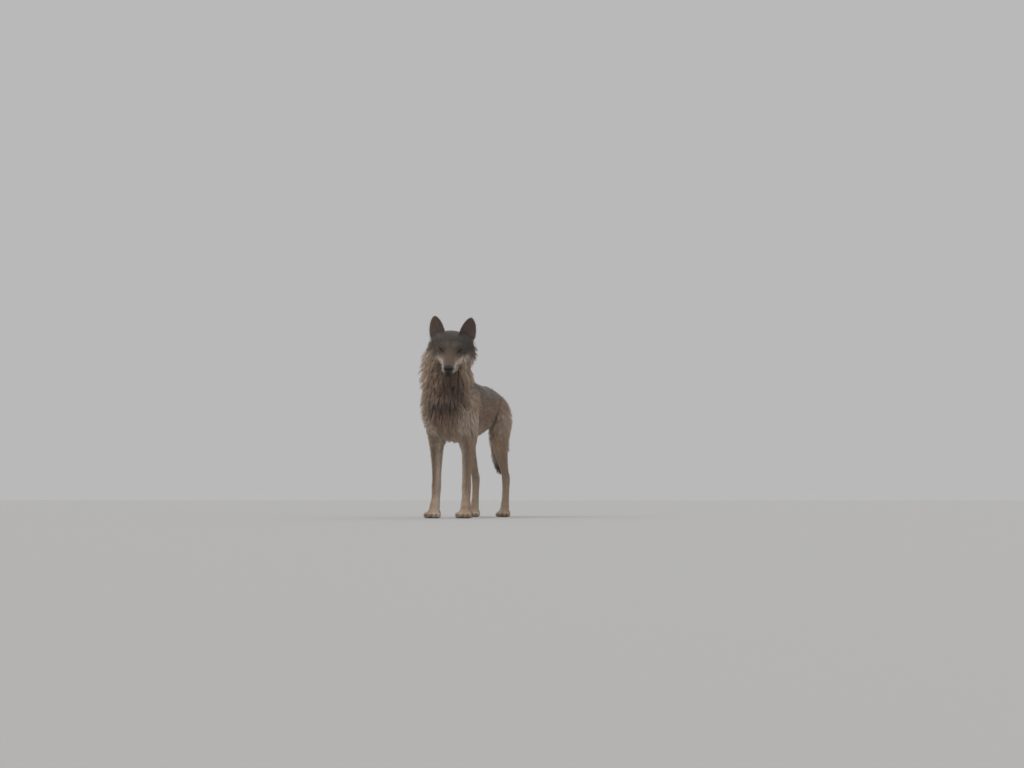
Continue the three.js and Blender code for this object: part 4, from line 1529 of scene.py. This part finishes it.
def spikes(tufts, stations):
    """Points, colours, map places and grain of many tufts at once."""
    line = spine[tufts][:, stations]
    girth = hair_width(length[tufts])[:, None] * GIRTH[stations[:-1]][None] / 2
    angle = 2 * np.pi * np.arange(SIDES) / SIDES + np.pi / 2
    wide = np.cos(angle)[None, None, :, None] * across[tufts][:, None, None]
    thick = FLATNESS * np.sin(angle)[None, None, :, None] * normal[tufts][:, None, None]
    rings = line[:, :-1, None] + girth[:, :, None, None] * (wide + thick)
    points = np.concatenate((rings.reshape(len(tufts), -1, 3), line[:, -1:]), 1)
    s = np.append(np.repeat(STATIONS[stations[:-1]], SIDES), 1.0)
    base = tuft_colour[tufts][:, None] * (1 + warmth[tufts])[:, None] * shade[tufts][:, None, None]
    # Darker towards the root: painted shade deep in the coat.
    depth = ROOT_SHADE + (1 - ROOT_SHADE) * ramp(s, 0, 0.5)
    dark = black_tips[tufts][:, None] * ramp(s, 0.6, 0.95)
    colour = base * depth[None, :, None] * (1 - TIP_DARKENING * dark[:, :, None])
    k = np.append(np.tile(np.arange(SIDES), len(stations) - 1), 1)
    spot = np.stack((around[tufts] / (2 * np.pi) + 0.5, along[tufts]), 1) * (1 - 4 * PATCH) + PATCH
    bake = spot[:, None] + PATCH * np.stack((k / SIDES, s), 1)[None]
    # Each tuft reads the noise at a place of its own, so no two have the same streaks.
    grain = np.stack((k * 1.0, s * 3), 1)[None] + rng.uniform(0, 50, (len(tufts), 1, 2))
    return points, colour, bake, np.concatenate((grain, grain[:, :, :1] * 0), 2)


# %% Turn arrays into meshes
def triangle_mesh(name, points, faces):
    """A mesh of triangles from arrays."""
    mesh = bpy.data.meshes.new(name)
    mesh.vertices.add(len(points))
    mesh.vertices.foreach_set("co", points.astype(np.float32).ravel())
    mesh.loops.add(faces.size)
    mesh.loops.foreach_set("vertex_index", faces.astype(np.int32).ravel())
    mesh.polygons.add(len(faces))
    mesh.polygons.foreach_set("loop_start", np.arange(0, faces.size, 3, dtype=np.int32))
    mesh.update(calc_edges=True)
    mesh.shade_smooth()
    return mesh


def paint(mesh, colour, grain):
    """Stores the attributes that the fur material reads."""
    rgba = np.column_stack((colour, np.ones(len(colour)))).astype(np.float32)
    mesh.attributes.new("coat", "FLOAT_COLOR", "POINT").data.foreach_set("color", rgba.ravel())
    vectors = grain.astype(np.float32)
    mesh.attributes.new("grain", "FLOAT_VECTOR", "POINT").data.foreach_set("vector", vectors.ravel())


def grow(name, tufts):
    """One piece of the coat."""
    made, faces, start = [], [], 0
    for stations, (low, high) in zip(RINGS, pairwise((*LENGTHS, math.inf))):
        alike = tufts[(length[tufts] >= low) & (length[tufts] < high)]
        if len(alike):
            arrays = spikes(alike, stations)
            first_points = start + arrays[0].shape[1] * np.arange(len(alike))
            spike_faces = tuft_faces(len(stations) - 1) + first_points[:, None, None]
            faces.append(spike_faces.reshape(-1, 3))
            made.append([array.reshape(-1, array.shape[-1]) for array in arrays])
            start += len(made[-1][0])
    points, colour, bake, grain = (np.concatenate(arrays) for arrays in zip(*made))
    faces = np.concatenate(faces)
    mesh = triangle_mesh(name, to_scene(points), faces)
    paint(mesh, colour, grain)
    layer = mesh.uv_layers.new(name="OFBake")
    layer.data.foreach_set("uv", bake[faces.ravel()].astype(np.float32).ravel())
    piece = new_piece(name, mesh)
    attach(piece, "root")
    return piece


print("one tuft has", [len(tuft_faces(len(stations) - 1)) for stations in RINGS], "triangles")

# %% [markdown]
# A piece of the coat is kept under 190,000 triangles, so a large part of the body gets several,
# cut along its form: the front of the trunk and its back, the upper legs and the lower ones.

# %% Grow the coat
GROUPS = {
    "head": ("head", "jaw"),
    "ears": ("ear",),
    "neck": ("neck",),
    "trunk": ("trunk",),
    "tail": ("tail",),
    "forelegs": ("foreleg",),
    "hindlegs": ("hindleg",),
}

sizes = [len(tuft_faces(len(stations) - 1)) for stations in RINGS]
triangles_each = np.choose(np.searchsorted(LENGTHS, length, "right") - 1, sizes)
coats = []
for name, names in GROUPS.items():
    tufts = np.flatnonzero(on(*names))
    tufts = tufts[np.argsort(along[tufts], kind="stable")]
    pieces = int(np.ceil(triangles_each[tufts].sum() / PIECE_LIMIT))
    ends = np.searchsorted(np.cumsum(triangles_each[tufts]), np.arange(1, pieces) * PIECE_LIMIT)
    for number, share in enumerate(np.split(tufts, ends), 1):
        coats.append(grow(f"coat_{name}_{number}", share))
total = sum(len(piece.data.polygons) for piece in coats)
print("coat pieces:", {piece.name: len(piece.data.polygons) for piece in coats}, "total", total)

# %% [markdown]
# Whiskers are the longest hairs of the face: a few dark, stiff bristles in rows on the swollen
# part of the upper lip, and two or three over each eye. They are made one by one, because each
# row points a little further back than the last.

# %% Add the whiskers
WHISKER_GIRTH = 0.42
WHISKER_ROOT = 1.5  # how deep it starts under the skin
WHISKER_DROOP = 0.16
WHISKER_RINGS = 6
LIP_ROWS, LIP_STEPS = 4, 5
whisker_rng = np.random.default_rng(5)


def bristle(base, direction, size):
    """The points of one long tapering bristle, in the head's own millimetres."""
    s = np.linspace(0, 1, WHISKER_RINGS + 1)
    line = base + size * (s[:, None] * direction + WHISKER_DROOP * (s**2)[:, None] * (0, 0, -1))
    sideways = unit(np.cross(direction, (0, 0, 1)))
    up = np.cross(sideways, direction)
    angle = 2 * np.pi * np.arange(SIDES) / SIDES
    round_it = np.cos(angle)[:, None] * sideways + np.sin(angle)[:, None] * up
    girth = WHISKER_GIRTH * (1 - 0.8 * s[:-1])[:, None, None]
    return np.concatenate(((line[:-1, None] + girth * round_it).reshape(-1, 3), line[-1:]))


spots = []  # where each grows, how long it is and the way it points, on the left side
for row in range(LIP_ROWS):
    for step in range(LIP_STEPS):
        spot = (16 + 3 * row + 2 * step, -126 + 13 * step, -70 + 6 * row)
        back = 0.35 + 0.14 * step
        spots.append((spot, 30 + 9 * step, (1.0, back * 1.2 - 0.35, -0.12)))
for k in range(3):
    spots.append(((36 + 4 * k, 2 - 2 * k, 33), 22 + 4 * k, (0.45, -0.75, 0.6)))

whisker_points, whisker_faces = [], []
for side in (1, -1):
    for spot, size, way in spots:
        over_eye = spot[2] > 0
        if over_eye:
            whisker_rng.normal(size=3)  # three numbers are passed over before each of these
        stray = whisker_rng.normal(0, 0.1 if over_eye else 0.09, 3)
        away = unit(way + stray) * (side, 1, 1)
        on_skin = from_head(np.array(spot, float) * (side, 1, 1))[None]
        on_skin = settle(on_skin, skin_distance, 4, most=30.0)[0]
        base = to_head(on_skin) - away * WHISKER_ROOT
        whisker_faces.append(tuft_faces(WHISKER_RINGS) + sum(map(len, whisker_points)))
        whisker_points.append(bristle(base, away, size))
whisker_mesh = triangle_mesh(
    "whiskers", to_scene(from_head(np.concatenate(whisker_points))), np.concatenate(whisker_faces)
)
whiskers = new_piece("whiskers", outward(whisker_mesh))
whisker_mesh.shade_smooth()
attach(whiskers, "root")
print("whiskers:", len(whisker_points))

# %% [markdown]
# ## Finishing the skin
#
# The skin now stands for all the solids of flesh. Where hair is long the skin shows only deep
# between the tufts, in their shade, so it is painted darker there as painted shade. On the face,
# ears and feet the hair is so short that the skin itself carries it, as colour and fine bump.

# %% Paint the skin and let it replace the flesh
GRAIN_SIZE = 1.1
LONG_STREAKS = {  # the grain is squeezed along the hair, so its spots show as streaks
    "head": (1, 0.16, 1),
    "jaw": (1, 0.16, 1),
    "foreleg": (1, 1, 0.16),
    "hindleg": (1, 1, 0.16),
    "tail": (1, 1, 0.16),
    "neck": (1, 1, 0.2),
    "trunk": (1, 0.16, 1),
}

# Painted shade: the skin is painted darker under the coat, and darker the deeper the coat is.
painted_coat_shade = 0.85 - 0.2 * ramp(ground["coat"], 4, 14)
skin_grain = np.zeros_like(roots)
for name, squeeze in LONG_STREAKS.items():
    base = ground["local"] if name in ("head", "jaw") else roots
    skin_grain += ground["share"][name][:, None] * base * squeeze
paint(skin.data, ground_colour * painted_coat_shade[:, None], skin_grain / GRAIN_SIZE)
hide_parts(*flesh)
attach(skin, "root")
print("skin:", len(skin.data.polygons), "triangles stand for", len(flesh), "nodes")

# %% [markdown]
# ## Materials
#
# Fur is rough and scatters light softly. Its colour is already in the mesh, so the material only
# breaks it up: a noise that is stretched along the hair gives streaks, and the same noise lifts
# them as a bump. The pattern follows the attribute *grain*, not the view.

# %% Make the fur materials
def new_material(name):
    """A new material, its shader, and short ways to add and join nodes."""
    made = bpy.data.materials.new(name)
    made.use_nodes = True
    nodes = made.node_tree.nodes
    shader = nodes["Principled BSDF"]

    def add(kind, **settings):
        node = nodes.new(kind)
        for key, value in settings.items():
            if key in node.inputs:
                node.inputs[key].default_value = value
            else:
                setattr(node, key, value)
        return node

    return made, shader, add, made.node_tree.links.new


def give(node, **values):
    """Sets a node's inputs. In a name, an underscore stands for a space."""
    for key, value in values.items():
        node.inputs[key.replace("_", " ")].default_value = value


def fur_material(name, scale, contrast, bump_height, roughness):
    """Hair whose colour comes from the mesh, with streaks along the grain."""
    made, shader, add, join = new_material(name)
    coat = add("ShaderNodeAttribute", attribute_name="coat")
    grain = add("ShaderNodeAttribute", attribute_name="grain")
    streaks = add("ShaderNodeTexNoise", Scale=scale, Detail=3.0, Roughness=0.6)
    join(grain.outputs["Vector"], streaks.inputs["Vector"])
    level = add("ShaderNodeMapRange")
    give(level, From_Min=0.3, From_Max=0.7, To_Min=1 - contrast, To_Max=1 + contrast)
    join(streaks.outputs["Fac"], level.inputs["Value"])
    shaded = add("ShaderNodeVectorMath", operation="SCALE")
    join(coat.outputs["Color"], shaded.inputs["Vector"])
    join(level.outputs["Result"], shaded.inputs["Scale"])
    join(shaded.outputs["Vector"], shader.inputs["Base Color"])
    bump = add("ShaderNodeBump", Strength=0.6, Distance=bump_height)
    join(streaks.outputs["Fac"], bump.inputs["Height"])
    join(bump.outputs["Normal"], shader.inputs["Normal"])
    give(shader, Roughness=roughness, Specular_IOR_Level=0.25, Sheen_Weight=0.12, Sheen_Roughness=0.5)
    return made


tuft_fur = fur_material("tuft_fur", 1.4, 0.22, 0.4 * MM, 0.72)
short_fur = fur_material("short_fur", 1.0, 0.38, 0.8 * MM, 0.8)
for piece in coats:
    piece.data.materials.append(tuft_fur)
skin.data.materials.clear()
skin.data.materials.append(short_fur)
print("fur on", len(coats) + 1, "pieces")

# %% [markdown]
# A wolf's iris is amber, paler towards the pupil and ringed with dark. The rings follow the
# distance from the middle of the pupil, and a wet, glossy coat over it all catches the lights.

# %% Colour the eyes
EYE_RINGS = [  # share of the eyeball's radius, and the colour there
    (0.0, linear(8, 7, 6)),  # pupil
    (0.19, linear(8, 7, 6)),
    (0.215, linear(150, 112, 58)),  # iris
    (0.38, linear(128, 90, 44)),
    (0.53, linear(74, 50, 26)),
    (0.58, linear(22, 16, 12)),  # its dark rim
    (0.72, linear(52, 38, 30)),
    (1.0, linear(70, 52, 42)),
]


def eye_material():
    """Rings of colour round the pupil, with fine fibres that run out from it."""
    made, shader, add, join = new_material("wolf_eye")
    gaze = add("ShaderNodeAttribute", attribute_name="gaze")
    flat = add("ShaderNodeVectorMath", operation="MULTIPLY")
    flat.inputs[1].default_value = (1, 1, 0)
    join(gaze.outputs["Vector"], flat.inputs[0])
    away = add("ShaderNodeVectorMath", operation="LENGTH")
    join(flat.outputs["Vector"], away.inputs[0])
    share = add("ShaderNodeMath", operation="DIVIDE")
    share.inputs[1].default_value = EYE_RADIUS
    join(away.outputs["Value"], share.inputs[0])
    rings = add("ShaderNodeValToRGB")
    stops = rings.color_ramp.elements  # a new one has a stop at 0 and one at 1
    stops[0].color = (*EYE_RINGS[0][1], 1)
    stops[1].color = (*EYE_RINGS[-1][1], 1)
    for position, colour in EYE_RINGS[1:-1]:
        stops.new(position).color = (*colour, 1)
    join(share.outputs["Value"], rings.inputs["Fac"])
    turn = add("ShaderNodeVectorMath", operation="NORMALIZE")
    join(flat.outputs["Vector"], turn.inputs[0])
    fibres = add("ShaderNodeTexNoise", Scale=9.0, Detail=3.0, Roughness=0.6)
    join(turn.outputs["Vector"], fibres.inputs["Vector"])
    level = add("ShaderNodeMapRange")
    give(level, From_Min=0.3, From_Max=0.7, To_Min=0.75, To_Max=1.3)
    join(fibres.outputs["Fac"], level.inputs["Value"])
    shaded = add("ShaderNodeVectorMath", operation="SCALE")
    join(rings.outputs["Color"], shaded.inputs["Vector"])
    join(level.outputs["Result"], shaded.inputs["Scale"])
    join(shaded.outputs["Vector"], shader.inputs["Base Color"])
    give(shader, Roughness=0.2, Specular_IOR_Level=0.3, Coat_Weight=0.6, Coat_Roughness=0.03)
    return made


eye_finish = eye_material()
for piece in eyeballs.values():
    piece.data.materials.append(eye_finish)
print("eyes coloured")

# %% [markdown]
# The nose pad is moist, dark leather made of small pebbles. A Voronoi texture has one cell for
# each pebble, and the distance to the cell's middle makes it round.

# %% Finish the nose, claws and whiskers
def two_tones(add, join, scale, dark, light):
    """A noise in the piece's own space, and a colour that it mixes from two."""
    place = add("ShaderNodeTexCoord")
    tone = add("ShaderNodeTexNoise", Scale=scale, Detail=4.0)
    join(place.outputs["Object"], tone.inputs["Vector"])
    colours = add("ShaderNodeMix", data_type="RGBA")
    colours.inputs["A"].default_value = (*dark, 1)
    colours.inputs["B"].default_value = (*light, 1)
    join(tone.outputs["Fac"], colours.inputs["Factor"])
    return place, tone, colours


def pebbled_nose():
    """Moist, dark leather with one small bump for each pebble."""
    made, shader, add, join = new_material("nose_leather")
    place, _, colours = two_tones(add, join, 90.0, linear(18, 15, 13), linear(34, 28, 25))
    join(colours.outputs["Result"], shader.inputs["Base Color"])
    pebbles = add("ShaderNodeTexVoronoi", Scale=620.0)
    join(place.outputs["Object"], pebbles.inputs["Vector"])
    bump = add("ShaderNodeBump", Strength=0.5, Distance=0.35 * MM, invert=True)
    join(pebbles.outputs["Distance"], bump.inputs["Height"])
    join(bump.outputs["Normal"], shader.inputs["Normal"])
    give(shader, Roughness=0.55, Specular_IOR_Level=0.35, Coat_Weight=0.05, Coat_Roughness=0.2)
    return made


def horn(name, dark, light, roughness):
    """Claw or bristle: two close tones and a faint bump."""
    made, shader, add, join = new_material(name)
    _, tone, colours = two_tones(add, join, 140.0, dark, light)
    join(colours.outputs["Result"], shader.inputs["Base Color"])
    bump = add("ShaderNodeBump", Strength=0.3, Distance=0.2 * MM)
    join(tone.outputs["Fac"], bump.inputs["Height"])
    join(bump.outputs["Normal"], shader.inputs["Normal"])
    give(shader, Roughness=roughness)
    return made


nose.data.materials.append(pebbled_nose())
claws.data.materials.append(horn("claw_horn", linear(34, 29, 26), linear(92, 80, 68), 0.35))
whiskers.data.materials.append(horn("whisker_hair", linear(24, 22, 20), linear(58, 52, 46), 0.5))
print("materials:", len(bpy.data.materials))

# %% [markdown]
# ## Floor and light
#
# An overcast sky has no hard shadow anywhere. A pale floor, a pale grey world and three very
# soft suns give the same quiet light indoors: a little more from above and from the left.
# Suns are used because their light is as strong far away as near, so the floor is even.

# %% Lay the floor and light the studio
FLOOR_SIZE = 200
SKY = 0.485
LAMP_SPREAD = 60
bpy.context.scene.view_settings.view_transform = "Standard"

floor_mesh = bpy.data.meshes.new("floor")
reach = FLOOR_SIZE / 2
floor_corners = [(-reach, -reach, 0), (reach, -reach, 0), (reach, reach, 0), (-reach, reach, 0)]
floor_mesh.from_pydata(floor_corners, [], [(0, 1, 2, 3)])
floor = new_piece("floor", floor_mesh)
floor_finish, floor_shader, _, _ = new_material("pale_floor")
give(floor_shader, Base_Color=(0.41, 0.406, 0.398, 1), Roughness=0.9, Specular_IOR_Level=0.1)
floor_mesh.materials.append(floor_finish)

world = bpy.data.worlds.new("overcast")
bpy.context.scene.world = world
world.use_nodes = True
sky = world.node_tree.nodes["Background"]
sky.inputs["Color"].default_value = (SKY, SKY, SKY, 1)


def lamp(name, azimuth, elevation, strength):
    """A very soft sun: its light comes from a patch of sky LAMP_SPREAD degrees across."""
    data = bpy.data.lights.new(name, "SUN")
    data.energy, data.angle = strength, math.radians(LAMP_SPREAD)
    made = bpy.data.objects.new(name, data)
    a, e = math.radians(azimuth), math.radians(elevation)
    way = Vector((math.sin(a) * math.cos(e), -math.cos(a) * math.cos(e), math.sin(e)))
    made.rotation_euler = way.to_track_quat("Z", "Y").to_euler()
    bpy.context.scene.collection.objects.link(made)


lamp("key", -26, 50, 1.62)
lamp("fill", 60, 30, 0.42)
lamp("back", 170, 50, 0.6)

# %% [markdown]
# ## The frame's size
#
# The coat may stand a little proud of the solids, but no more. The frame's box is written down, so
# that it can be compared after a render.

# %% Write the frame's size and finish
print("frame box:", np.round(frame_box, 3).tolist())
